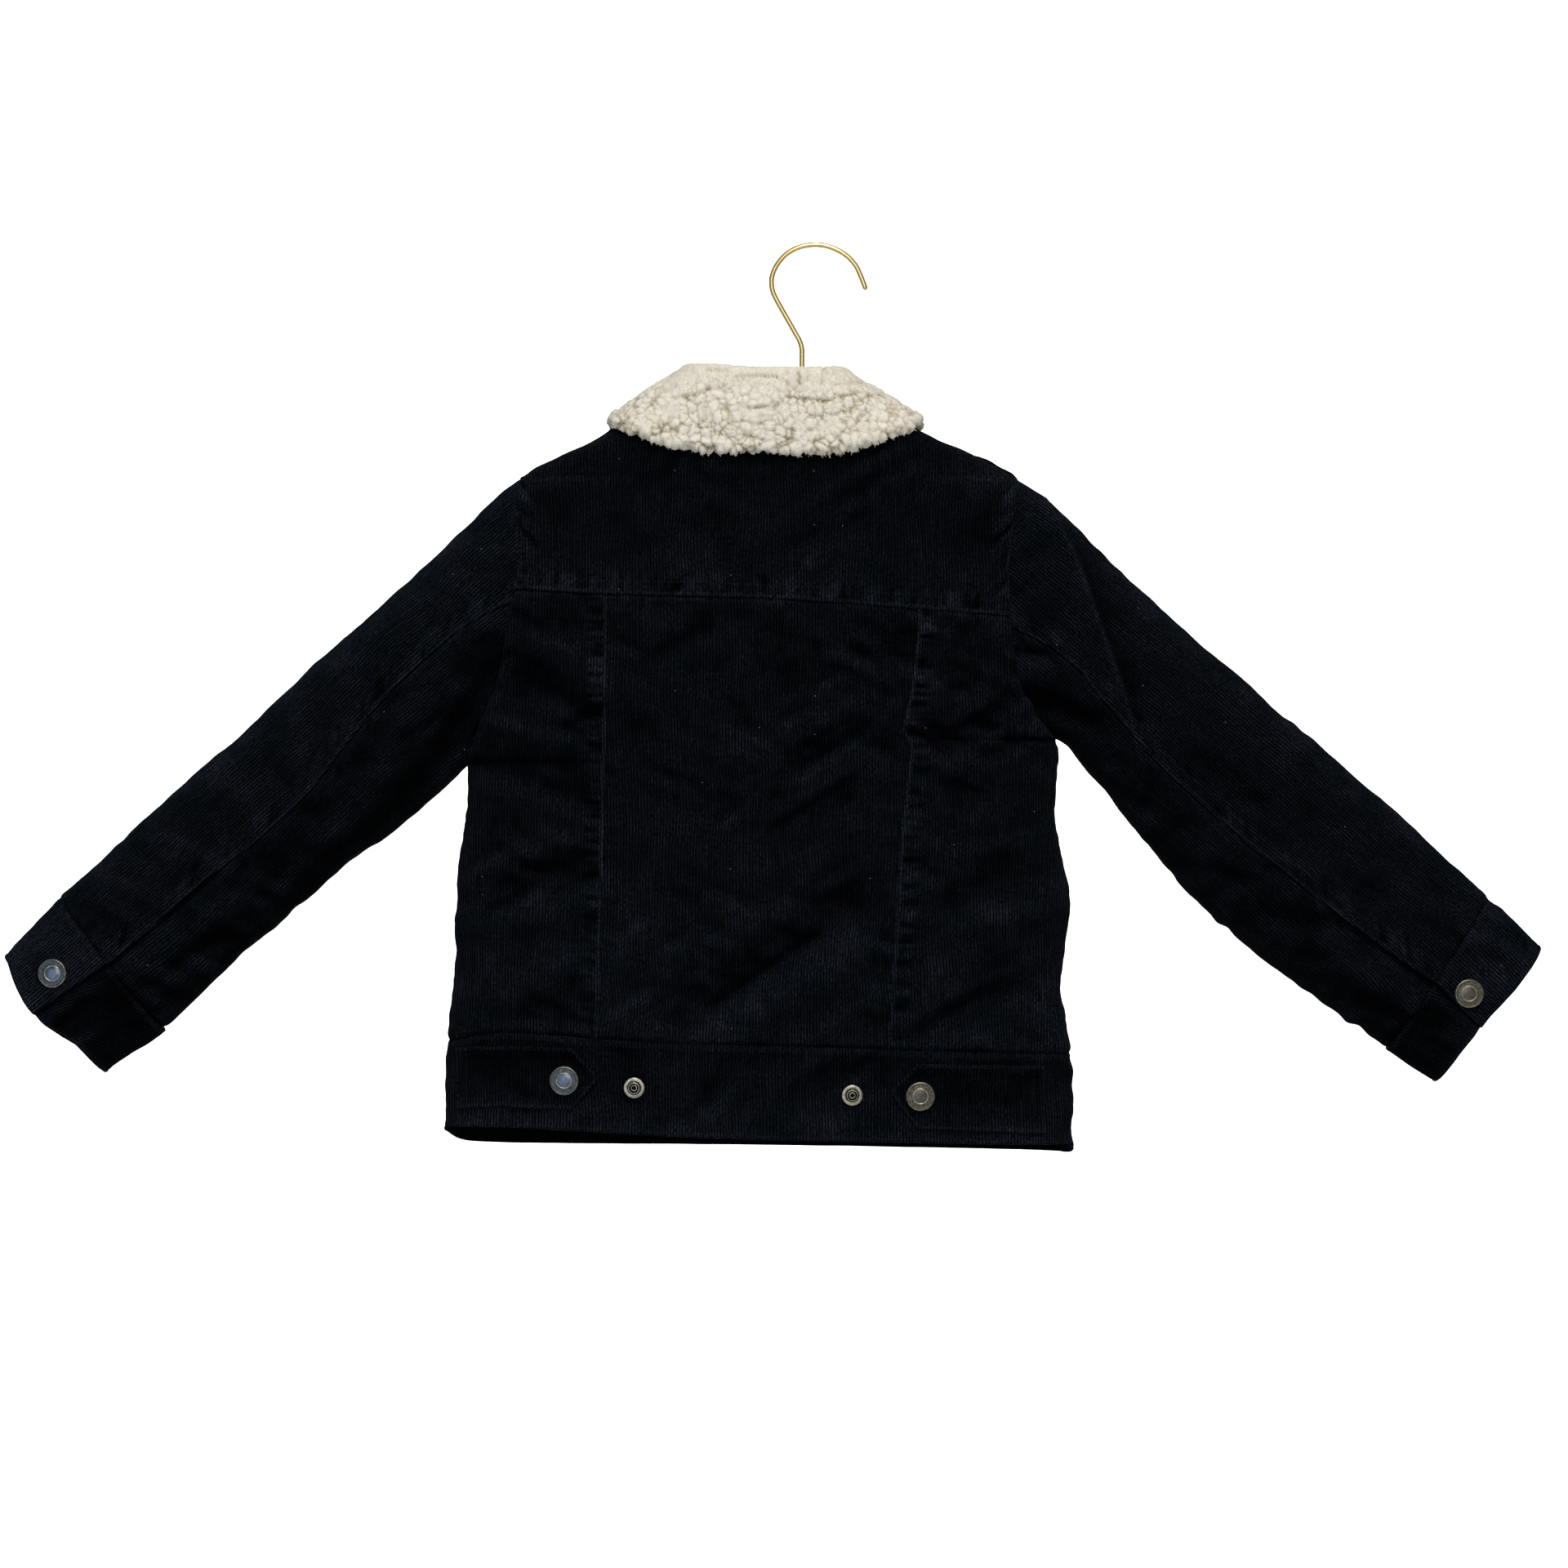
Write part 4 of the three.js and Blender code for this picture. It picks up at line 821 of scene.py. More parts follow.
def lining_finish():
    """Plain woven polyester lining inside the sleeves: smooth black with a low satin gloss and a fine
    weave."""
    material, tree = new_finish("black_woven_lining", Roughness=0.55, Specular_IOR_Level=0.4)
    cut = add(tree, "UVMap", uv_map="cut")
    weave = {"Vector": cut, "Scale": 1600.0, "Color1": colour("#0c0c10"), "Color2": colour("#17171c")}
    threads = add(tree, "TexChecker", weave)
    surface(tree, threads, threads.node.outputs[1], 0.08, 0.5)
    return material


def thread_finish():
    """Spun polyester topstitching thread: black, twisted, a little glossier than the pile round it."""
    material, tree = new_finish("black_sewing_thread", Roughness=0.75, Specular_IOR_Level=0.15)
    surface(tree, clouded(tree, 1800.0, 1.0, "#070709", "#17171a")[2])
    return material


def paper_finish():
    """Seamless studio paper: matt white with the faintest mottle."""
    material, tree = new_finish("white_studio_paper", Roughness=0.95, Specular_IOR_Level=0.1)
    surface(tree, clouded(tree, 3.0, 2.0, "#f6f6f6", "#fbfbfb")[2])
    return material


def gold_wire_finish():
    """Drawn steel wire with a satin gold plating: warm and bright, with faint drawing lines along it."""
    material, tree = new_finish("satin_gold_plated_wire", Metallic=1.0)
    place, cloud, tone = clouded(tree, 130.0, 3.0, "#d3b878", "#e2cd92")
    roughness = add(tree, "Math", (cloud, 0.16, 0.2), operation="MULTIPLY_ADD")
    lines = add(tree, "TexNoise", {"Vector": place, "Scale": 2400.0, "Detail": 1.0})
    surface(tree, tone, lines, 0.02, 0.4, roughness)
    return material


def brass_finish(name, light, dark, roughness, wear_scale):
    """Antiqued brass, stamped and blackened, then rubbed bright again on its high parts."""
    material, tree = new_finish(name, Metallic=1.0)
    place = add(tree, "TexCoord", (), "Object")
    wear = add(tree, "TexNoise", {"Vector": place, "Scale": wear_scale, "Detail": 4.0, "Roughness": 0.65})
    share = add(tree, "Math", (wear, 2.6, -0.91), operation="MULTIPLY_ADD", use_clamp=True)
    tone = add(tree, "Mix", {SHARE: share, FIRST: colour(dark), SECOND: colour(light)}, MIXED,
               data_type="RGBA")
    surface(tree, tone, wear, 0.05, 0.5, add(tree, "Math", (wear, 0.25, roughness), operation="MULTIPLY_ADD"))
    return material


CORDUROY, SHERPA, LINING, THREAD = corduroy_finish(), sherpa_finish(), lining_finish(), thread_finish()
GOLD_WIRE, PAPER = gold_wire_finish(), paper_finish()
BRIGHT_BRASS = brass_finish("rubbed_antique_brass", "#d0cab9", "#87816f", 0.22, 420.0)
DARK_BRASS = brass_finish("blackened_antique_brass", "#807b6c", "#38352d", 0.36, 900.0)
# painted light: a greyer, silvery copy of the ring's brass for the left caps, as they look in their light
RING_BRASS_PAINTED_LIGHT = brass_finish("ring_brass_painted_light", "#71767a", "#2e3134", 0.3, 900.0)
BLACK_BRASS = brass_finish("unrubbed_antique_brass", "#1d1a15", "#0c0b09", 0.5, 600.0)
DISC_BRASS = brass_finish("polished_smoked_brass", "#7e8595", "#5a5f69", 0.14, 300.0)
# painted shade: a darker copy of the disc's brass for the right caps, as they look in shade
DISC_BRASS_PAINTED_SHADE = brass_finish("disc_brass_painted_shade", "#6f6d62", "#504e45", 0.3, 500.0)

# Stitches

STITCH_PITCH, STITCH_LENGTH, THREAD_RADIUS = 2.9, 2.2, 0.2
STITCH_WIDTHS = (0.55, 1, 1, 0.55)


def short_threads(name, paths, up, widths, radius, finish):
    """Many short closed threads, each through four points, with a width at each of them."""
    ahead = unit(paths[:, -1] - paths[:, 0])
    side = unit(np.cross(up, ahead))
    up = np.cross(ahead, side)
    turns = np.radians([45, 135, 225, 315])
    spokes = np.stack([side * math.cos(a) + up * math.sin(a) for a in turns], axis=1)
    points = paths[:, :, None] + radius * np.array(widths)[None, :, None, None] * spokes[:, None]
    base = [(r + k, r + (k + 1) % 4, r + 4 + (k + 1) % 4, r + 4 + k) for r in (0, 4, 8) for k in range(4)]
    base += [(3, 2, 1, 0), (12, 13, 14, 15)]
    quads = (np.arange(len(points))[:, None, None] * 16 + np.array(base)[None]).reshape(-1, 4)
    points = points.reshape(-1, 3)
    piece = new_mesh(name, points, facing_out(points, quads), [finish], marks={"pile": np.ones(len(points))})
    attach(piece, "root")
    return piece


def stitches(name, lines):
    """Rows of separate stitches, each a short round thread that dips into the cloth at both ends."""
    shape = [(-0.5, -0.28), (-0.22, 0.1), (0.22, 0.1), (0.5, -0.28)]
    paths, ups = [], []
    for points, facing in lines:
        run = run_along(points)
        at = np.arange(STITCH_PITCH, run[-1] - STITCH_PITCH, STITCH_PITCH)
        sample = lambda values, where: np.stack([np.interp(where, run, part) for part in values.T], axis=-1)
        centre, up = sample(points, at), unit(sample(facing, at))
        ahead = unit(sample(points, at + 1) - sample(points, at - 1))
        knots = [centre + ahead * share * STITCH_LENGTH + up * lift for share, lift in shape]
        paths.append(np.stack(knots, axis=1))
        ups.append(up)
    if not paths:
        return None
    paths, ups = np.concatenate(paths), np.concatenate(ups)
    piece = short_threads(name, paths, ups, STITCH_WIDTHS, THREAD_RADIUS, THREAD)
    return piece


# Cloth pieces

# How light each piece's pile looks from behind: painted light and shade that evens out how the light falls on
# the pieces, together with the way each one's nap was laid out and brushed
NAP_AND_PAINTED_LIGHT = {
    "back_yoke": 0.9, "waistband_back": 0.8, "back_side_left": 1.05, "back_side_right": 1.1,
    "back_centre": 1.05,
    "sleeve_left_upper": 0.85, "sleeve_left_under": 0.9, "sleeve_right_upper": 0.72,
    "sleeve_right_under": 0.85,
    "cuff_left": 0.85, "cuff_right": 0.75, "tab_left": 0.8, "tab_right": 0.8,
}
INSIDE_PAINTED_SHADE = 0.3  # painted shade on the inside facings, which lie in shadow
WAVES = [(0.8, 21, 2), (0.3, 7, 3)]  # small waves all over the cloth: how tall, how wide, and the seed's step
INNER_TUFTS, INNER_TUFT_DEPTH, INNER_CRACK_DEPTH = 5.6, 1.1, 0.5


def cloth_piece(node, outer, inner, kinds, grain, start, finishes, rows_of_stitches, seed,
                extra=None,
                sherpa=False, creased=1.0, painted_fold_light=0.0):
    """Finishes a grid of cloth: its seams and small waves, its flat cut, stitches, and what it says to the
    frame."""
    outward = outer - inner
    normal = normals_of(outer, outward)
    relief, rub_and_painted_light = seam_relief(outer, kinds, seed)
    for tall, size, step in WAVES:
        relief += tall * soft_noise(outer, size, seed + step)
    relief += creased * wrinkles(outer, seed)
    if extra is not None:
        relief = relief + extra
    shaped = outer + normal * relief[..., None]
    facing = normals_of(shaped, outward)
    # painted light and shade for the cloth's colour: lighter on folds and upward slopes, darker in hollows,
    # with the seams' and the shoulder fold's painted light and each piece's share
    painted_light = painted_light_of(shaped, facing, rub_and_painted_light + painted_fold_light).ravel() * NAP_AND_PAINTED_LIGHT.get(node, 1.0)
    marks = {"painted_light": np.concatenate([painted_light, np.full(painted_light.size, INSIDE_PAINTED_SHADE)])}
    inner = inner + normal * np.minimum(relief, 0)[..., None]
    if sherpa:
        top, crack = tufts(inner, INNER_TUFTS, 11)
        # painted shade in the cracks between the inner tufts
        marks["pile"] = np.concatenate([np.zeros(painted_light.size), (top * (1 - 0.6 * crack)).ravel()])
        sunk = (1 - top) * INNER_TUFT_DEPTH + crack * INNER_CRACK_DEPTH
        inner = inner + unit(outward) * sunk[..., None]
    cut = flat_cut(outer, grain, start)
    piece = cloth_wall(node + "_cloth", shaped, inner, cut, finishes, marks)
    settle(piece, node)
    lines = [line_on(shaped, facing, *row) for row in rows_of_stitches]
    thread = stitches(node + "_stitches", lines)
    size = np.ptp(cut.reshape(-1, 2), axis=0) * MM


def levels(v, *points):
    """A height for each share of the way down, through heights given at shares."""
    z = points[0][1] + 0 * v
    for (low, high_z), (high, low_z) in zip(points, points[1:]):
        z = np.where(v >= low, mix(high_z, low_z, (v - low) / (high - low)), z)
    return z


DOWN = (0, 0, -1)
BODY_FINISHES = [CORDUROY, SHERPA]
SLEEVE_FINISHES = [CORDUROY, LINING]
FACED_FINISHES = [CORDUROY, CORDUROY]
JACKET_BACK_FOLDS, JACKET_FRONT_FOLDS = BACK_FOLDS + BACK_CREASES, FRONT_FOLDS + FRONT_CREASES


def make_yoke():
    right, left = body_girth.way(0), body_girth.way(np.pi)
    u = shares_of(left - right, 1.5)[None, :]
    v = shares_of(112, 1.5)[:, None]
    angle = body_girth.angle(mix(left, right, u))
    neck = mix(NECK_SIDE_Z, NECK_BACK_Z, np.sin(angle))
    seam_x = body_point(-1, angle, YOKE_SEAM["z"][2])[..., 0]
    seam = through(YOKE_SEAM, "x", "z", seam_x) + SEWN / 2
    z = levels(v, (0, neck), (0.5, SHOULDER_TIP_Z), (1, seam))
    outer, inner = body_faces(-1, angle, z, JACKET_BACK_FOLDS)
    kinds = {"bottom": "over", "left": "over", "right": "over", "top": "joined"}
    rows = [("bottom", 1.9), ("bottom", 7.9), ("left", 1.9, (0.48, 0)), ("left", 7.9, (0.46, 0)),
            ("right", 1.9, (0.48, 0)), ("right", 7.9, (0.46, 0))]
    cloth_piece("back_yoke", outer, inner, kinds, DOWN, u.size // 2, BODY_FINISHES, rows,
                1, sherpa=True, creased=0.45)


def make_lower_back():
    armpit_row = 0.4
    heights = (YOKE_SEAM["z"][2], ARMPIT_Z["left"], BAND_SEAM["z"][3])
    v = np.sort(shares_of(256, 1.35))[:, None]
    half = SEWN / 2
    left_x = through(BODY, "z", "left", ARMPIT_Z["left"])
    right_x = through(BODY, "z", "right", ARMPIT_Z["left"])
    seam_z = levels(v, (0, heights[0]), (armpit_row, heights[1]), (1, heights[2]))
    seam_way = lambda seam, shift: body_girth.way(body_angle(through(seam, "z", "x", seam_z) + shift, seam_z))
    left, right = body_girth.way(np.pi) + 0 * v, body_girth.way(0) + 0 * v
    # Name, start, end, seams, the share of its width where its flat cut keeps its place, stitches and seed
    panels = [
        ("back_side_left", left, seam_way(LEFT_BACK_SEAM, -half), {"right": "over", "left": "joined"}, 1,
         [("right", 1.9), ("left", 7.9, (0, 0.62))], 21),
        ("back_centre", seam_way(LEFT_BACK_SEAM, half), seam_way(RIGHT_BACK_SEAM, -half),
         {"left": "joined", "right": "joined"}, 0.5, [], 22),
        ("back_side_right", seam_way(RIGHT_BACK_SEAM, half), right, {"left": "over", "right": "joined"}, 0,
         [("left", 1.9), ("right", 7.9, (0, 0.68))], 23),
    ]
    for node, start, end, kinds, kept, rows, seed in panels:
        u = shares_of(float(np.abs(end - start).mean()), 1.9)[None, :]
        angle = body_girth.angle(mix(start, end, u))
        at = lambda z: body_point(-1, angle, z)[..., 0]
        top = through(YOKE_SEAM, "x", "z", at(heights[0])) - half
        bottom = through(BAND_SEAM, "x", "z", at(heights[2])) + half
        share = np.clip((at(heights[1]) - left_x) / (right_x - left_x), 0, 1)
        z = levels(v, (0, top), (armpit_row, mix(ARMPIT_Z["left"], ARMPIT_Z["right"], share)), (1, bottom))
        outer, inner = body_faces(-1, angle, z, JACKET_BACK_FOLDS)
        kinds = {**kinds, "top": "under", "bottom": "under"}
        column = min(int(kept * u.size), u.size - 1)
        cloth_piece(node, outer, inner, kinds, DOWN, column, BODY_FINISHES, rows, seed,
                    sherpa=True)


def make_fronts():
    shoulder_row, armpit_row = 0.22, 0.56
    v = shares_of(370, 3.2)[:, None]
    for side, side_angle, shift, seed in (("left", np.pi, 0.001, 31), ("right", 0, -0.001, 32)):
        side_way = body_girth.way(side_angle)
        centre = body_angle(NECK_MIDDLE_X, ARMPIT_Z["left"]) + shift
        u = shares_of(abs(side_way - body_girth.way(centre)), 3.2)[None, :]
        angle = body_girth.angle(mix(side_way, body_girth.way(centre), u))
        sink = ((angle - side_angle) / (centre - side_angle)) ** 2
        band_x = body_point(1, angle, BAND_SEAM["z"][3])[..., 0]
        bottom = through(BAND_SEAM, "x", "z", band_x) + SEWN / 2
        z = levels(
            v, (0, mix(NECK_SIDE_Z, NECK_FRONT_Z, sink)), (shoulder_row, mix(SHOULDER_TIP_Z, CHEST_Z, sink)),
            (armpit_row, mix(ARMPIT_Z[side], ARMPIT_Z["left"], sink)), (1, bottom),
        )
        outer, inner = body_faces(1, angle, z, JACKET_FRONT_FOLDS)
        kinds = {"left": "joined", "right": "joined", "top": "joined", "bottom": "under"}
        rows = [("left", 7.9, (0.3, 0.5))]
        cloth_piece(f"front_{side}", outer, inner, kinds, DOWN, u.size - 1, BODY_FINISHES, rows,
                    seed, sherpa=True)


def make_waistband():
    end_x = NECK_MIDDLE_X + PLACKET_WIDTH / 2
    waist_z = -492
    band_end = lambda shift: body_angle(end_x + shift, waist_z)
    pieces = {
        "waistband_back": (-1, np.pi, 0.0, BACK_HEM, 1.6, JACKET_BACK_FOLDS + BAND_CREASES, 41),
        "waistband_front_left": (1, np.pi, band_end(-SEWN / 2), FRONT_HEM, 3.2, JACKET_FRONT_FOLDS, 42),
        "waistband_front_right": (1, 0.0, band_end(SEWN / 2), FRONT_HEM, 3.2, JACKET_FRONT_FOLDS, 43),
    }
    for node, (face, start, end, hem, step, folds, seed) in pieces.items():
        start_way, end_way = body_girth.way(start), body_girth.way(end)
        u = shares_of(abs(end_way - start_way), step)[None, :]
        v = shares_of(54, step)[:, None]
        angle = body_girth.angle(mix(start_way, end_way, u))
        x = body_point(face, angle, waist_z)[..., 0]
        z = mix(through(BAND_SEAM, "x", "z", x) - SEWN / 2, through(hem, "x", "z", x), v)
        outer, inner = body_faces(face, angle, z, folds)
        kinds = {"top": "banded", "bottom": "free", "left": "joined", "right": "joined"}
        rows = [("top", 1.9), ("bottom", 3.0)]
        cloth_piece(node, outer, inner, kinds, DOWN, u.size // 2, FACED_FINISHES, rows, seed)


def make_strip(node, face, x, z, thick, folds, seed, rows):
    outer = body_at(face, x, z, -STRIP_GAP - thick, folds)
    inner = body_at(face, x, z, -STRIP_GAP, folds)
    kinds = {"top": "free", "bottom": "free", "left": "free", "right": "free"}
    cloth_piece(node, outer, inner, kinds, DOWN, z.shape[1] // 2, FACED_FINISHES, rows, seed)


def make_placket_and_tabs():
    bottom = float(through(BAND_SEAM, "x", "z", NECK_MIDDLE_X)) + 1
    u = shares_of(PLACKET_WIDTH, 3.0)[None, :]
    v = shares_of(PLACKET_TOP_Z - bottom, 3.0)[:, None]
    x = NECK_MIDDLE_X + (u - 0.5) * PLACKET_WIDTH + 0 * v
    z = mix(PLACKET_TOP_Z, bottom, v) + 0 * u
    rows = [("left", 3.0), ("right", 3.0), ("left", 8.4), ("right", 8.4)]
    make_strip("front_band", 1, x, z, PLACKET_THICK, JACKET_FRONT_FOLDS, 51, rows)
    for side, seed in (("left", 52), ("right", 53)):
        table = TAB[side]
        ends = np.array(table["x"], float)
        length = abs(ends[-1] - ends[0])
        u = shares_of(length, 1.6)
        knots = np.abs(ends - ends[0]) / length
        u = np.unique(np.concatenate([u, knots]))[None, :]
        v = shares_of(37, 1.5)[:, None]
        top, low = np.interp(u, knots, table["top"]), np.interp(u, knots, table["bottom"])
        x = mix(ends[0], ends[-1], u) + 0 * v
        z = mix(top, low, v)
        folds = JACKET_BACK_FOLDS + BAND_CREASES
        rows = [("top", 3.0), ("bottom", 3.0), ("left", 2.6), ("left", 8.4)]
        make_strip(f"tab_{side}", -1, x, z, TAB_THICK, folds, seed, rows)


SLEEVE_CREASED = {"upper": 0.65, "under": 1.0}  # the upper piece is stretched smoother over the shoulder
SLIT = {"left": 6.6, "right": 7.4}  # the station where the back seam opens into the cuff slit
SLEEVE_GRAIN = {"left": (-269, 0, -245), "right": (275, 0, -244)}
CUFF_BOW = {"left": (7.0, 0.05, 0.75), "right": (-2.5, 0.3, 1.05)}  # how far a cuff's end bows out, and where
CUFF_CORNER = {"left": 0.3, "right": 1.4}  # how far a cuff's folded corners are rounded back
CUFF_LAP = 0.12  # how far a cuff's under end runs on below its upper one, as a share of its width
CUFF_SUNK = 4.0  # how far that end lies below the cuff's own surface


def make_sleeves():
    for side in ("left", "right"):
        last = len(SLEEVE[side]) - 1
        nudge = 0.0003
        grain = SLEEVE_GRAIN[side]
        at = shares_of(372, 1.8)[:, None] * last
        seam = station(side, at)["seam"]
        front = lambda shift: -pressed_angle(1 - 2 * (FRONT_SEAM_SHARE + shift), SLEEVE_ROUND) + 0 * at
        back = lambda shift: pressed_angle(1 - 2 * (seam + shift), SLEEVE_ROUND)
        pieces = {
            "upper": (front(-nudge), back(-nudge), {"right": "felled"}),
            "under": (back(nudge), 2 * np.pi + front(nudge), {"left": "under"}),
        }
        slit = smoothstep(SLIT[side], SLIT[side] + 0.5, at)
        for name, (start, end, kinds) in pieces.items():
            start_way, end_way = sleeve_girth.way(start), sleeve_girth.way(end)
            u = shares_of(float(np.abs(end_way - start_way).mean()), 2.3)[None, :]
            angle = sleeve_girth.angle(mix(start_way, end_way, u))
            folds = SLEEVE_FOLDS + SLEEVE_CREASES
            outer = sleeve_point(side, angle, at + 0 * u, 0, folds)
            inner = sleeve_point(side, angle, at + 0 * u, SLEEVE_WALL, folds)
            edges = edges_of(outer)
            if name == "upper":
                extra = slit * 1.1 * hump(edges["right"], 0, 11)
                kinds = {**kinds, "left": "joined", "top": "joined", "bottom": "under"}
                rows = [("right", 1.9), ("right", 7.9)]
                column = int(np.argmin(np.abs(angle.mean(axis=0) - np.pi / 3)))
            else:
                extra = slit * (1.8 * hump(edges["left"], 17, 8) - 3.6 * hump(edges["left"], 0, 5.0))
                inner = inner - unit(outer - inner) * (slit * 3.2 * hump(edges["left"], 0, 6))[..., None]
                kinds = {**kinds, "right": "joined", "top": "joined", "bottom": "under"}
                rows = []
                column = int(np.argmin(np.abs(angle.mean(axis=0) - 2 * np.pi / 3)))
            seed = 60 + len(name) + (0 if side == "left" else 5)
            # the right sleeve's shoulder fold: raised cloth, with a painted highlight and painted shadow
            # beside it
            raised, lit = beside_fold(outer) if side == "right" else (0, 0)
            cloth_piece(
                f"sleeve_{side}_{name}", outer, inner, kinds, grain, column, SLEEVE_FINISHES, rows,
                seed, extra=extra + raised, creased=SLEEVE_CREASED[name], painted_fold_light=lit,
            )


def make_cuffs():
    for side in ("left", "right"):
        nudge = 0.003
        grain = SLEEVE_GRAIN[side]
        share = shares_of(46, 1.8)[:, None]
        section = cuff_section(side, share)
        start = pressed_angle(1 - 2 * (section["seam"] - CUFF_LAP), SLEEVE_ROUND)
        end = 2 * np.pi + pressed_angle(1 - 2 * (section["seam"] - nudge), SLEEVE_ROUND)
        start_way, end_way = sleeve_girth.way(start), sleeve_girth.way(end)
        u = shares_of(float(np.abs(end_way - start_way).mean()), 1.9)[None, :]
        angle = sleeve_girth.angle(mix(start_way, end_way, u))
        outer, across = section_point(section, angle, 0, CUFF_CREASES)
        inner = section_point(section, angle, CUFF_WALL, CUFF_CREASES)[0]
        reach, bow_from, bow_to = CUFF_BOW[side]
        bow = reach * share**1.5 * np.sin(np.pi * np.clip((across - bow_from) / (bow_to - bow_from), 0, 1))
        bow = bow - CUFF_CORNER[side] * share**3 * np.abs(2 * across - 1) ** 8
        for cloth in (outer, inner):
            cloth += bow[..., None] * unit(np.array(grain, float))
        edges = edges_of(outer)
        sunk = 1 - smoothstep(9, 20, edges["left"])
        extra = hump(edges["right"], 0, 12) - CUFF_SUNK * sunk
        inner = inner - unit(outer - inner) * (CUFF_SUNK * sunk)[..., None]
        kinds = {"top": "banded", "bottom": "free", "left": "free", "right": "free"}
        rows = [("top", 1.9), ("bottom", 3.0), ("right", 3.0)]
        column = int(np.argmin(np.abs(angle.mean(axis=0) - 2.2 * np.pi)))
        cloth_piece(f"cuff_{side}", outer, inner, kinds, grain, column, FACED_FINISHES, rows,
                    71 if side == "left" else 72, extra=extra)


# Collar


def neck_place(share, sign):
    """Where the neckline is on the body: 0 at the centre back, 0.5 at the side and 1 at the centre front."""
    face = -1 if share <= 0.5 else 1
    turn = abs(0.5 - share) * math.pi
    angle = turn if sign > 0 else math.pi - turn
    sink = (2 * share - 1) ** 2
    z = mix(NECK_SIDE_Z, NECK_BACK_Z, math.sin(angle)) if face < 0 else mix(NECK_SIDE_Z, NECK_FRONT_Z, sink)
    return face, angle, z


def neck_rise(share, sign):
    """The way out of the cloth at the neckline, in the cloth's own plane and square to its edge."""
    face, angle, z = neck_place(share, sign)
    point = lambda da, dz: body_point(face, angle + da, z + dz, BODY_WALL / 2)
    out = np.cross(point(0.02, 0) - point(-0.02, 0), point(0, 1) - point(0, -1))
    beside = lambda step: body_point(*neck_place(share + step, sign), BODY_WALL / 2)
    rise = unit(np.cross(out, beside(0.01) - beside(-0.01)))
    return -rise if rise[2] < 0 else rise


def collar_line(t):
    """The middle of the collar's thickness from the neckline over the fold to its edge."""
    size = abs(t)
    row = {name: float(through(COLLAR, "t", name, size)) for name in COLLAR}
    sign = -1 if t < 0 else 1
    face = -1 if size <= 0.5 else 1
    steep = 0 if face < 0 else float(smoothstep(0, 0.18, 2 * size - 1))
    rise = np.array([0.0, 0.0, 1.0])
    if steep > 0:
        rise = unit(mix(rise, neck_rise(size, sign), steep))
    base = body_point(*neck_place(size, sign), BODY_WALL / 2)
    ahead = min(max((size - 0.5) / 0.035, 0), 1)
    base = base + rise * mix(SEAM_GAP, COLLAR_FRONT_GAP, ahead)
    fold = np.array([NECK_MIDDLE_X + sign * row["foldX"], face * row["foldY"],
                     row["foldZ"] - COLLAR_THICK / 2 - 0.5])
    fold[2] += COLLAR_TILT * sign * row["foldX"]
    out = unit(np.array([sign * row["foldX"], face * row["foldY"] * 2, 0]))
    edge_angle = math.pi / 2 - sign * math.radians(row["edgeTurn"])
    edge = body_point(face, edge_angle, row["edgeZ"])
    beside = body_point(face, edge_angle + sign * 0.03, row["edgeZ"]) - edge
    above = body_point(face, edge_angle, row["edgeZ"] + 2) - edge
    lift = unit(np.cross(above, beside) * (-face * sign))
    over_band = float(smoothstep(0.8, 0.93, size)) * (PLACKET_THICK + STRIP_GAP) if face > 0 else 0
    clear = COLLAR_CLEAR + COLLAR_THICK / 2 + over_band
    edge = edge + lift * clear
    arc = []
    for degrees in (150, 110, 70, 30):
        a = math.radians(degrees)
        arc.append(fold + out * COLLAR_FOLD * math.cos(a) + np.array([0, 0, COLLAR_FOLD * (math.sin(a) - 1)]))
    fall = []
    for share in (0.3, 0.65, 1):
        point = mix(arc[-1], edge, share) + out * math.sin(share * math.pi) * COLLAR_BULGE
        cloth = abs(float(body_at(face, point[0], min(point[2], NECK_SIDE_Z))[1]))
        point[1] = face * max(face * point[1], cloth + clear if cloth > 1 else 0)
        fall.append(point)
    stand = base + rise * COLLAR_STAND_FOOT
    return np.array([base, stand, mix(stand, arc[0], 0.6), *arc, *fall])


def smooth_path(points, count):
    """Evenly spaced points on a smooth curve through these."""
    padded = np.concatenate([[2 * points[0] - points[1]], points, [2 * points[-1] - points[-2]]])
    fine = []
    for i in range(len(points) - 1):
        a, b, c, d = padded[i : i + 4]
        for t in np.linspace(0, 1, 12, endpoint=False):
            curved = (2 * a - 5 * b + 4 * c - d) * t**2 + (3 * b - a - 3 * c + d) * t**3
            fine.append(0.5 * (2 * b + (c - a) * t + curved))
    fine = np.array(fine + [points[-1]])
    run = run_along(fine)
    at = np.linspace(0, run[-1], count)
    return np.stack([np.interp(at, run, fine[:, k]) for k in range(3)], axis=-1)


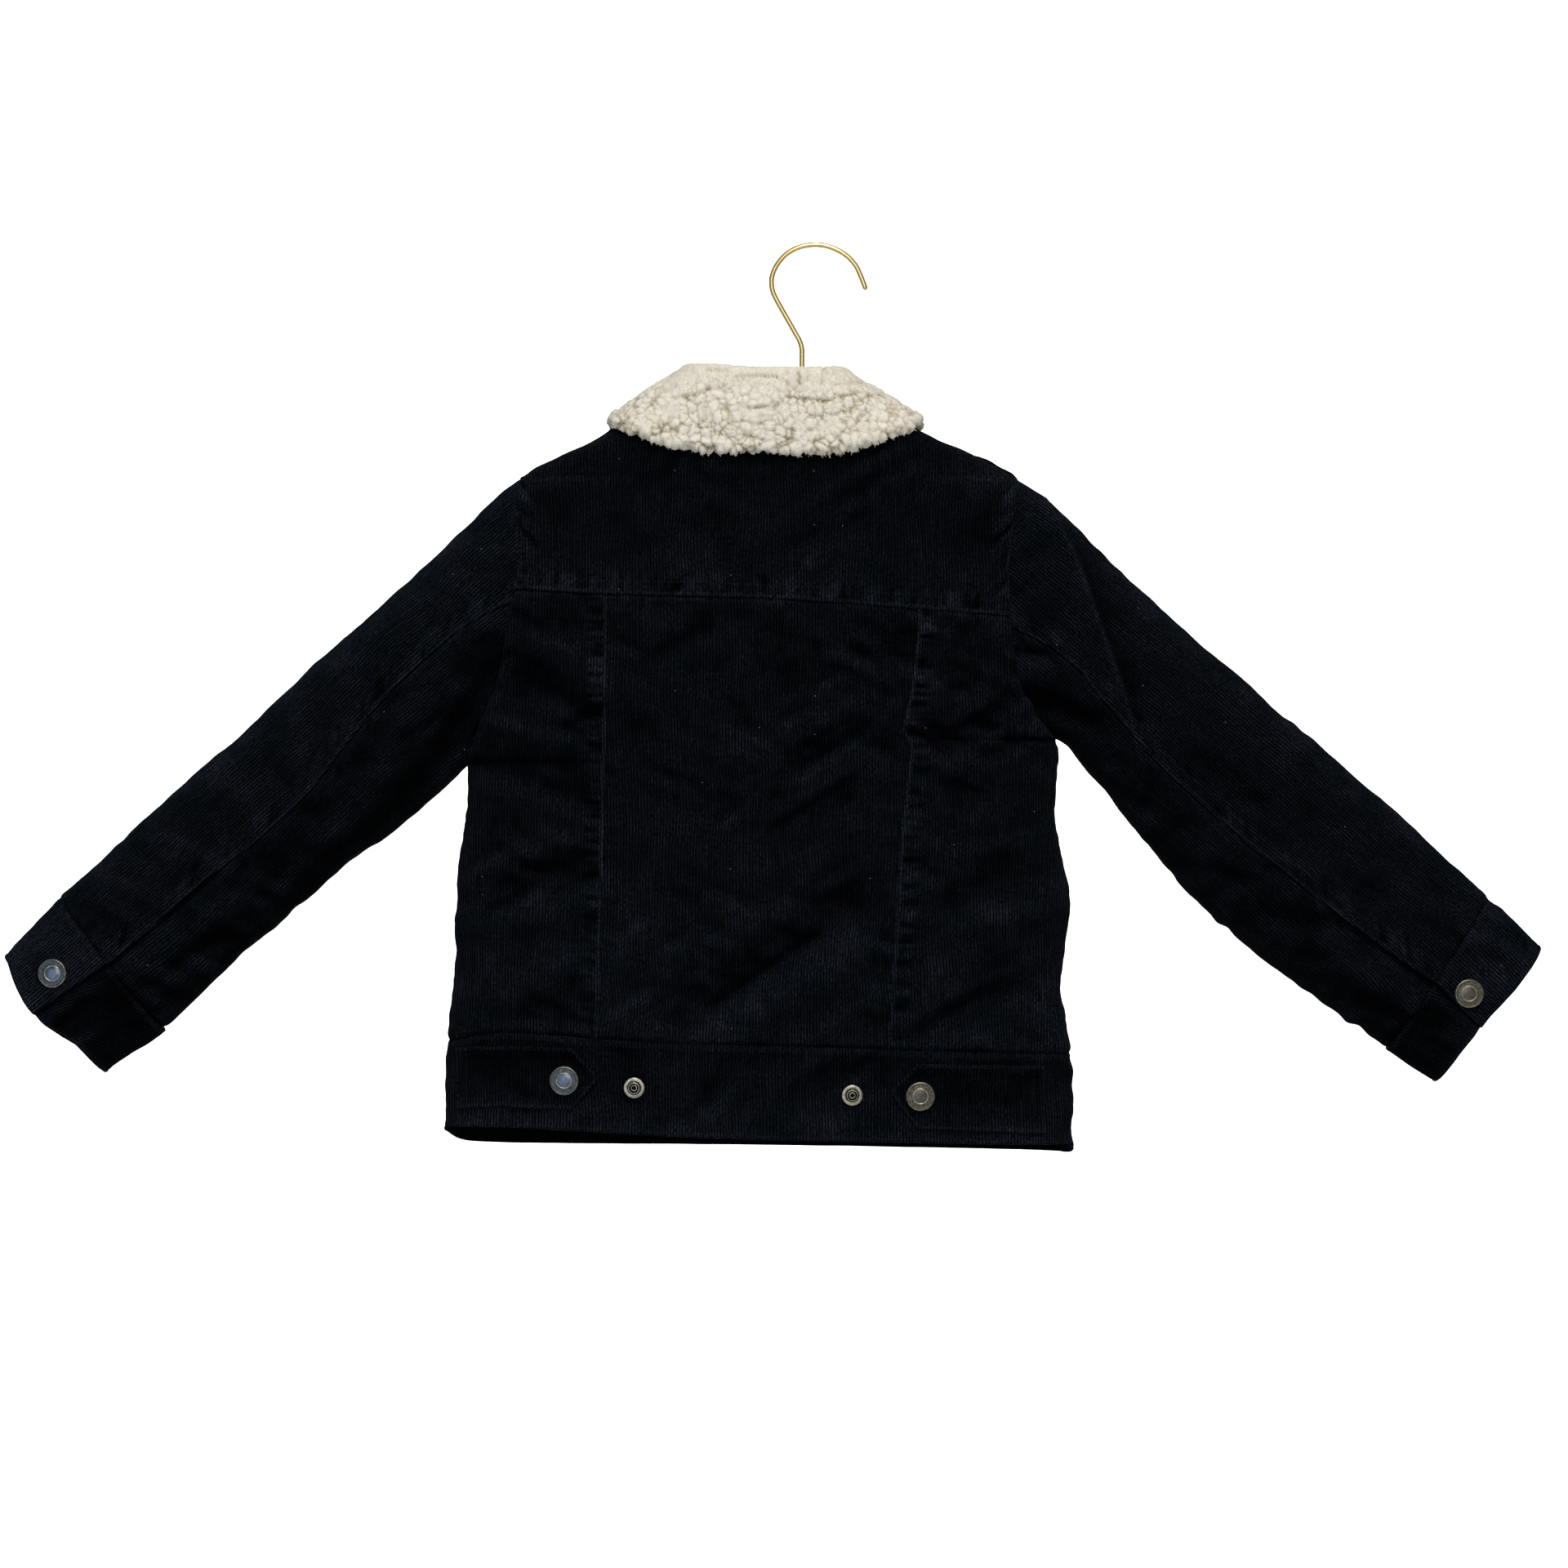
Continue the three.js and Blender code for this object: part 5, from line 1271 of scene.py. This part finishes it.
# Where the pile has parted behind the neck: from a place to a place, how wide, and how far it sinks. The sunk
# lines are also painted darker, as shade
COLLAR_CRACKS = [
    (-83.3, -90, -69.5, -88.6, 1.1, -1.3), (-69.5, -88.6, -61.4, -84.8, 1.1, -1.4),
    (-61.4, -84.8, -51, -82.4, 1.0, -1.1), (-6.7, -91.9, 5.2, -91.9, 1.2, -1.7),
    (5.2, -91.9, 16.7, -89.5, 1.2, -1.7), (16.7, -89.5, 25.7, -86.7, 1.1, -1.2),
    (-17.1, -81, -15.7, -90, 1.1, -1.3), (-15.7, -90, -6.7, -91.9, 1.1, -1.3),
    (12.9, -82.4, 30, -79.5, 1.1, -1.0), (-43.3, -94.8, -34.3, -96.7, 1.1, -1.2),
    (-34.3, -96.7, -22.4, -94.8, 1.1, -1.2), (-64.3, -91.4, -63.3, -103.3, 1.1, -1.1),
    (6.2, -100.5, 21.9, -98.1, 1.1, -1.2), (24.8, -91.4, 42.9, -84.3, 1.1, -1.0),
    (-10.5, -75, -8.5, -85, 1.0, -1.3), (4.8, -72, 4.2, -82, 1.0, -1.1), (-5.2, -74, -4.2, -80, 0.9, -1.0),
]
PIT_ROWS = [(-63.3, -50.5, -73.8), (-45.7, -21.9, -77.4)]  # small pits: from X to X, and their height
COLLAR_COLUMNS, OUTER_ROWS, INNER_ROWS = 560, 92, 44
CAP_TURNS = np.radians([30, 60, 90, 120, 150])
TUFT_SIZE, CURL_SIZE = 5.2, 2.3
FIBRE_WIDTHS, FIBRE_RADIUS = (1, 1, 0.9, 0.6), 0.17


def collar_fibres(skin, facing, down, rows):
    """Loose ends of pile: short curls that lie on the collar, and a fringe that hangs from its edge."""
    paths = []
    count, fringe = 1300, 420
    pick = np.zeros((count + fringe, 3), int)
    pick[:, 0] = np.arange(count + fringe)
    chances = [chance(pick, seed) for seed in range(90, 97)]
    column = (chances[0] * (skin.shape[0] - 24)).astype(int) + 12
    on_face, on_edge = rows * (0.3 + 0.69 * chances[1]), rows + 1 + 2 * chances[1]
    row = np.where(pick[:, 0] < count, on_face, on_edge).astype(int)
    hang = (pick[:, 0] >= count)[:, None]
    root, out, low = skin[column, row], facing[column, row], down[column]
    side = unit(np.cross(out, low))
    turn = (chances[2] * 2 * np.pi)[:, None]
    hanging = unit(low + side * (chances[2] * 2.4 - 1.2)[:, None] + out * 0.2)
    way = np.where(hang, hanging, side * np.cos(turn) + low * np.sin(turn))
    long = np.where(hang, 0.6 + 1.0 * chances[3][:, None] ** 2, 1.2 + 1.4 * chances[3][:, None])
    bend = unit(np.cross(out, way)) * (chances[4][:, None] - 0.5)
    lift = np.where(hang, 0.0, 0.15 + 0.3 * chances[5][:, None])
    for share in (0, 0.35, 0.7, 1):
        rise = lift * math.sin(math.pi * share) - 0.25 * (1 - share) * (1 - hang)
        paths.append(root + way * long * share + bend * long * share * share + out * rise)
    piece = short_threads("collar_fibres", np.stack(paths, axis=1), out, FIBRE_WIDTHS, FIBRE_RADIUS, SHERPA)
    return piece


def make_collar():
    ts = np.linspace(-COLLAR_END, COLLAR_END, COLLAR_COLUMNS)
    lines = [collar_line(t) for t in ts]
    middle = np.array([smooth_path(line, OUTER_ROWS) for line in lines])
    below = np.array([smooth_path(line, INNER_ROWS) for line in lines])
    half = COLLAR_THICK / 2

    def eased(sheet):
        """Evens out a sheet, and gives the way out of it, its half thickness, and how far its ends are."""
        for _ in range(4):
            sheet[1:-1] = (sheet[:-2] + 2 * sheet[1:-1] + sheet[2:]) / 4
        across = unit(np.cross(np.gradient(sheet, axis=0), np.gradient(sheet, axis=1)))
        if across[COLLAR_COLUMNS // 2, -1, 1] > 0:
            across = -across
        run = ways(sheet, 0)
        from_end = np.minimum(run, run[-1:] - run)
        inwards = np.clip(1 - from_end / half, 0, 0.995)
        return across, half * np.sqrt(1 - inwards**2), from_end

    normal, thick, from_end = eased(middle)
    under_normal, under_thick, _ = eased(below)
    down, up = unit(middle[:, -1] - middle[:, -2]), unit(middle[:, 0] - middle[:, 1])

    def turned(edge, out, way, size):
        """Rows that turn round an edge, from one face to the other."""
        cos, sin = np.cos(CAP_TURNS)[:, None], np.sin(CAP_TURNS)[:, None]
        return edge[:, None] + size[:, None, None] * (out[:, None] * cos + way[:, None] * sin)

    edge_cap = turned(middle[:, -1], normal[:, -1], down, thick[:, -1])
    base_cap = turned(middle[:, 0], -normal[:, 0], up * 0.1, thick[:, 0])
    skin = np.concatenate([
        middle + normal * thick[..., None], edge_cap,
        (below - under_normal * under_thick[..., None])[:, ::-1], base_cap,
    ], axis=1)
    size = skin.shape[1]
    around = np.roll(skin, -1, axis=1) - np.roll(skin, 1, axis=1)
    facing = unit(np.cross(np.gradient(skin, axis=0), around))
    if (facing[:, :OUTER_ROWS] * normal).sum() < 0:
        facing = -facing
    warp = np.stack([soft_noise(skin, 6.5, seed) for seed in (14, 15, 16)], axis=-1) * 1.6
    warp += np.stack([soft_noise(skin, 2.6, seed) for seed in (24, 25, 26)], axis=-1) * 0.9
    top, crack = tufts(skin + warp, TUFT_SIZE, 3)
    top = mix(top, smoothstep(0, 0.85, top), 0.5)
    crack *= smoothstep(-1.0, 0.1, soft_noise(skin, 9, 31))
    fine, _ = tufts(skin + warp, CURL_SIZE, 8)
    fold_z = middle[:, :, 2].max(axis=1)[:, None]
    shaggy = mix(0.3, 1.0, smoothstep(3, 19, fold_z - skin[..., 2]))
    outside = np.arange(size) < OUTER_ROWS + len(CAP_TURNS)
    shaggy = np.where(outside, shaggy, 0.5)
    seen = outside & (skin[..., 1] < 0)
    split = fold_height(COLLAR_CRACKS, skin[..., 0] + warp[..., 0] * 0.6, skin[..., 2] + warp[..., 2] * 0.6)
    pits = [(x, z, x + 0.7, z - 0.8, 0.75, -1.5) for x0, x1, z in PIT_ROWS for x in np.arange(x0, x1, 2.3)]
    split = (split + fold_height(pits, skin[..., 0], skin[..., 2] + warp[..., 2] * 0.4)) * seen
    # the pile's height, which the finish turns into painted shade: darker in the cracks, the parted lines and
    # the pits
    pile = (0.72 * top + 0.28 * fine - 0.85 * crack) * shaggy + (1 - shaggy) * 0.8 + split * 0.42
    pile = np.clip(pile, 0, 1)
    ends = np.clip(from_end.min(axis=1)[:, None] / 4, 0.15, 1)
    ragged = 1 + 0.9 * (np.abs(np.arange(size) - OUTER_ROWS) < 5)
    tall = (top - 0.5) * 2.0 + (fine - 0.5) * 0.8 - crack * 0.9 + 0.5 * soft_noise(skin, 3.4, 41)
    tall = tall * shaggy * ragged + split + 0.6 * soft_noise(skin, 17, 4)
    skin = skin + facing * (tall * ends)[..., None]
    index = np.arange(COLLAR_COLUMNS * size).reshape(COLLAR_COLUMNS, size)
    wrapped = np.concatenate([index, index[:, :1]], axis=1)
    a, b, c, d = wrapped[:-1, :-1], wrapped[:-1, 1:], wrapped[1:, 1:], wrapped[1:, :-1]
    quads = [np.stack([a, b, c, d], axis=-1).reshape(-1, 4)]
    for line, order in ((index[0], 1), (index[-1], -1)):
        pair = np.stack([line[: size // 2 - 1], line[1 : size // 2], line[-2 : size - size // 2 - 1 : -1],
                         line[-1 : size - size // 2 : -1]], axis=-1)
        quads.append(pair[:, ::-1] if order > 0 else pair)
    quads = np.concatenate(quads)
    points = skin.reshape(-1, 3)
    piece = new_mesh("collar_sherpa", points, facing_out(points, quads), [SHERPA],
                     marks={"pile": pile.ravel()})
    settle(piece, "collar")
    fibres = collar_fibres(skin, facing, down, OUTER_ROWS)


# Snaps


def seat_of(node):
    """Where a snap sits: the middle of its back and the way it faces, read from its CAD solid."""
    points = np.array([v.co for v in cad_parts[node].data.vertices], float)
    middle = points.mean(axis=0)
    axis = np.linalg.svd(points - middle, full_matrices=False)[2][2]
    sign = 1 if node.startswith("front_cap") else -1
    if axis[1] * sign < 0:
        axis = -axis
    tall = (points - middle) @ axis
    centre = middle + axis * tall.min()
    ring = points[tall < tall.min() + 1e-5]
    if len(ring) > 3:
        centre = (ring.min(axis=0) + ring.max(axis=0)) / 2
    return Vector(centre), Vector(axis)


def pick_faces(test):
    bpy.ops.object.mode_set(mode="OBJECT")
    mesh = bpy.context.object.data
    for part in (mesh.vertices, mesh.edges):
        part.foreach_set("select", [False] * len(part))
    for face in mesh.polygons:
        face.select = test(face)
    bpy.ops.object.mode_set(mode="EDIT")


# Each snap as it is turned: how many sides, radius and thickness of its blank, then its face stepped inwards
# from radius to radius, and up or down, in millimetres. zones gives the finish of what lies outside each
# radius.
SNAPS = {
    # A pressed ring-spring cap: rolled rim, sunken ring that is left bare, and a polished centre disc
    "cap": {
        "blank": (56, 8.5, 0.9), "bevel": 0.12, "finishes": [BRIGHT_BRASS, DARK_BRASS, DISC_BRASS],
        "steps": [(8.35, 0.6), (8.05, 0.65), (7.8, 0.15), (7.55, -0.1), (7.4, -0.35), (6.0, 0.12),
                  (4.75, 0.02),
                  (4.6, 0.25), (4.2, 0.06), (4.05, -0.2), (3.6, 0.16), (2.6, 0.12), (1.3, 0.05)],
        "zones": [(7.8, 0), (4.62, 1), (4.1, 0), (-1, 2)],
    },
    # The same cap on the hidden front, pressed plain
    "plain": {
        "blank": (40, 8.5, 0.9), "bevel": 0.12, "finishes": [BRIGHT_BRASS, DARK_BRASS, DISC_BRASS],
        "steps": [(8.3, 0.6), (7.7, 0.8), (6.6, 0.3), (6.2, -0.2), (3.0, 0.1)], "zones": [(6.3, 0), (-1, 2)],
    },
    # The stud that a cap closes on: a domed flange, and a hollow post with a lip round its rivet
    "stud": {
        "blank": (64, 6.0, 0.7), "bevel": 0.08, "finishes": [BRIGHT_BRASS, BLACK_BRASS],
        "steps": [(5.7, 0.25), (4.2, 0.12), (4.05, -0.3), (3.7, -0.05), (3.5, 0.6), (3.25, 0.9), (3.35, 0.5),
                  (3.2, 0.35), (2.8, 0.08), (2.65, -0.8), (2.35, -0.9), (1.9, -0.1), (1.8, 0.5), (1.35, 0.05),
                  (1.2, -0.3), (1.1, -0.9)],
        "zones": [(4.1, 0), (3.6, 1), (2.75, 0), (1.85, 1), (1.25, 0), (-1, 1)],
    },
}


def turned_snap(kind):
    """A snap turned from a round blank, lying on its back at the origin."""
    snap = SNAPS[kind]
    sides, radius, tall = snap["blank"]
    place = (0, 0, tall * MM / 2)
    bpy.ops.mesh.primitive_cylinder_add(vertices=sides, radius=radius * MM, depth=tall * MM, location=place)
    piece = bpy.context.object
    piece.name = piece.data.name = kind + "_model"
    bpy.ops.object.transform_apply(location=True, rotation=True, scale=True)
    bpy.ops.object.mode_set(mode="EDIT")
    bpy.ops.mesh.select_mode(type="FACE")
    pick_faces(lambda face: face.normal.z > 0.9 and face.center.z > 0)
    for inner, lift in snap["steps"]:
        bpy.ops.mesh.extrude_region_move(TRANSFORM_OT_translate={"value": (0, 0, lift * MM)})
        bpy.ops.transform.resize(value=(inner / radius, inner / radius, 1))
        radius = inner
    bpy.ops.object.mode_set(mode="OBJECT")
    for finish in snap["finishes"]:
        piece.data.materials.append(finish)
    for face in piece.data.polygons:
        away = face.center.xy.length / MM
        face.material_index = next(finish for outside, finish in snap["zones"] if away > outside)
    modifier = piece.modifiers.new("soft_edges", "BEVEL")
    modifier.width, modifier.segments = snap["bevel"] * MM, 2
    modifier.limit_method, modifier.angle_limit = "ANGLE", math.radians(25)
    bpy.ops.object.modifier_apply(modifier=modifier.name)
    bpy.ops.object.shade_smooth_by_angle(angle=math.radians(40))
    piece.select_set(False)
    return piece


def seated_copy(model, node):
    """A copy of a snap with its own mesh, turned and moved to its seat."""
    centre, axis = seat_of(node)
    piece = model.copy()
    piece.data = model.data.copy()
    piece.name = piece.data.name = node + "_metal"
    turn = Vector((0, 0, 1)).rotation_difference(axis).to_matrix().to_4x4()
    piece.data.transform(Matrix.Translation(centre) @ turn)
    bpy.context.scene.collection.objects.link(piece)
    settle(piece, node)
    return piece


RING_FINISH, DISC_FINISH = 1, 2


def make_snaps():
    models = {kind: turned_snap(kind) for kind in SNAPS}
    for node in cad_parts:
        if node.startswith("front_cap"):
            seated_copy(models["plain"], node)
        elif node.startswith(("tab_cap", "cuff_cap")):
            piece = seated_copy(models["cap"], node)
            # painted light and shade: the right caps get the darker disc copy, the left caps the silvery ring
            # copy
            if node.endswith("right"):
                piece.data.materials[DISC_FINISH] = DISC_BRASS_PAINTED_SHADE
            else:
                piece.data.materials[RING_FINISH] = RING_BRASS_PAINTED_LIGHT
        elif node.startswith("stud"):
            seated_copy(models["stud"], node)
    for model in models.values():
        bpy.data.objects.remove(model)


# Hanger


def wire_piece(node, points, both_free):
    """A round wire bent along a smooth path. Its start, or both of its ends, are free and rounded over."""
    path = smooth_path(np.array(points, float), WIRE_POINTS)
    run = run_along(path)
    from_end = np.minimum(run, run[-1] - run) if both_free else run
    thick = np.sqrt(np.maximum(1 - np.maximum(1 - from_end / (WIRE / 2), 0) ** 2, 0.04))
    curve = bpy.data.curves.new(node + "_wire", "CURVE")
    curve.dimensions = "3D"
    curve.bevel_depth = WIRE / 2 * MM
    curve.bevel_resolution = 6
    curve.use_fill_caps = True
    spline = curve.splines.new("POLY")
    spline.points.add(len(path) - 1)
    for spot, place, share in zip(spline.points, path, thick):
        spot.co = (*(place * MM), 1)
        spot.radius = share
    piece = bpy.data.objects.new(node + "_wire", curve)
    bpy.context.scene.collection.objects.link(piece)
    bpy.ops.object.select_all(action="DESELECT")
    piece.select_set(True)
    bpy.context.view_layer.objects.active = piece
    bpy.ops.object.convert(target="MESH")
    piece = bpy.context.object
    piece.name = node + "_wire"
    bpy.ops.object.shade_smooth()
    piece.data.materials.clear()
    piece.data.materials.append(GOLD_WIRE)
    piece.select_set(False)
    settle(piece, node)


def make_hanger():
    wire_piece("hanger_hook", [(x, 0, z) for x, z in HOOK], False)
    under = {}
    for side, inward in (("left", 1), ("right", -1)):
        under[side] = []
        for z in ARM_HEIGHTS:
            ridge = lambda height: float(through(BODY, "z", side, height)) + inward * BODY_WALL
            slope = unit(np.array([ridge(z + 1) - ridge(z - 1), 0, 2.0]))
            down = np.array([inward * abs(slope[2]), 0, -abs(slope[0])])
            under[side].append(np.array([ridge(z), 0, z]) + down * (WIRE / 2 + STRIP_GAP))
    apex_z = STEM_BOTTOM - WIRE / 2 - SEAM_GAP
    apex = [np.array([STEM_X + dx, 0, apex_z - abs(dx) * 0.07]) for dx in (-APEX_REACH, 0, APEX_REACH)]
    wire_piece("hanger_arms", [*under["left"][::-1], *apex, *under["right"]], True)


# Studio


def make_studio():
    """One sheet of paper, from the floor up a wide curve to the wall far behind."""
    floor_z, wall_y, radius, reach, tall = -1.6, 4.4, 1.0, 5.0, 5.0
    profile = [(-reach, floor_z), (wall_y - radius, floor_z)]
    for a in np.radians(np.linspace(5, 90, 18)):
        profile.append((wall_y - radius + radius * math.sin(a), floor_z + radius - radius * math.cos(a)))
    profile.append((wall_y, floor_z + tall))
    points = [(x / MM, y / MM, z / MM) for x in (-reach, reach) for y, z in profile]
    n = len(profile)
    quads = [(i, i + n, i + n + 1, i + 1) for i in range(n - 1)]
    new_mesh("studio_paper", np.array(points), quads, [PAPER])


make_hanger()
make_yoke()
make_lower_back()
make_fronts()
make_waistband()
make_placket_and_tabs()
make_sleeves()
make_cuffs()
make_collar()
make_snaps()
make_studio()

bpy.context.view_layer.update()
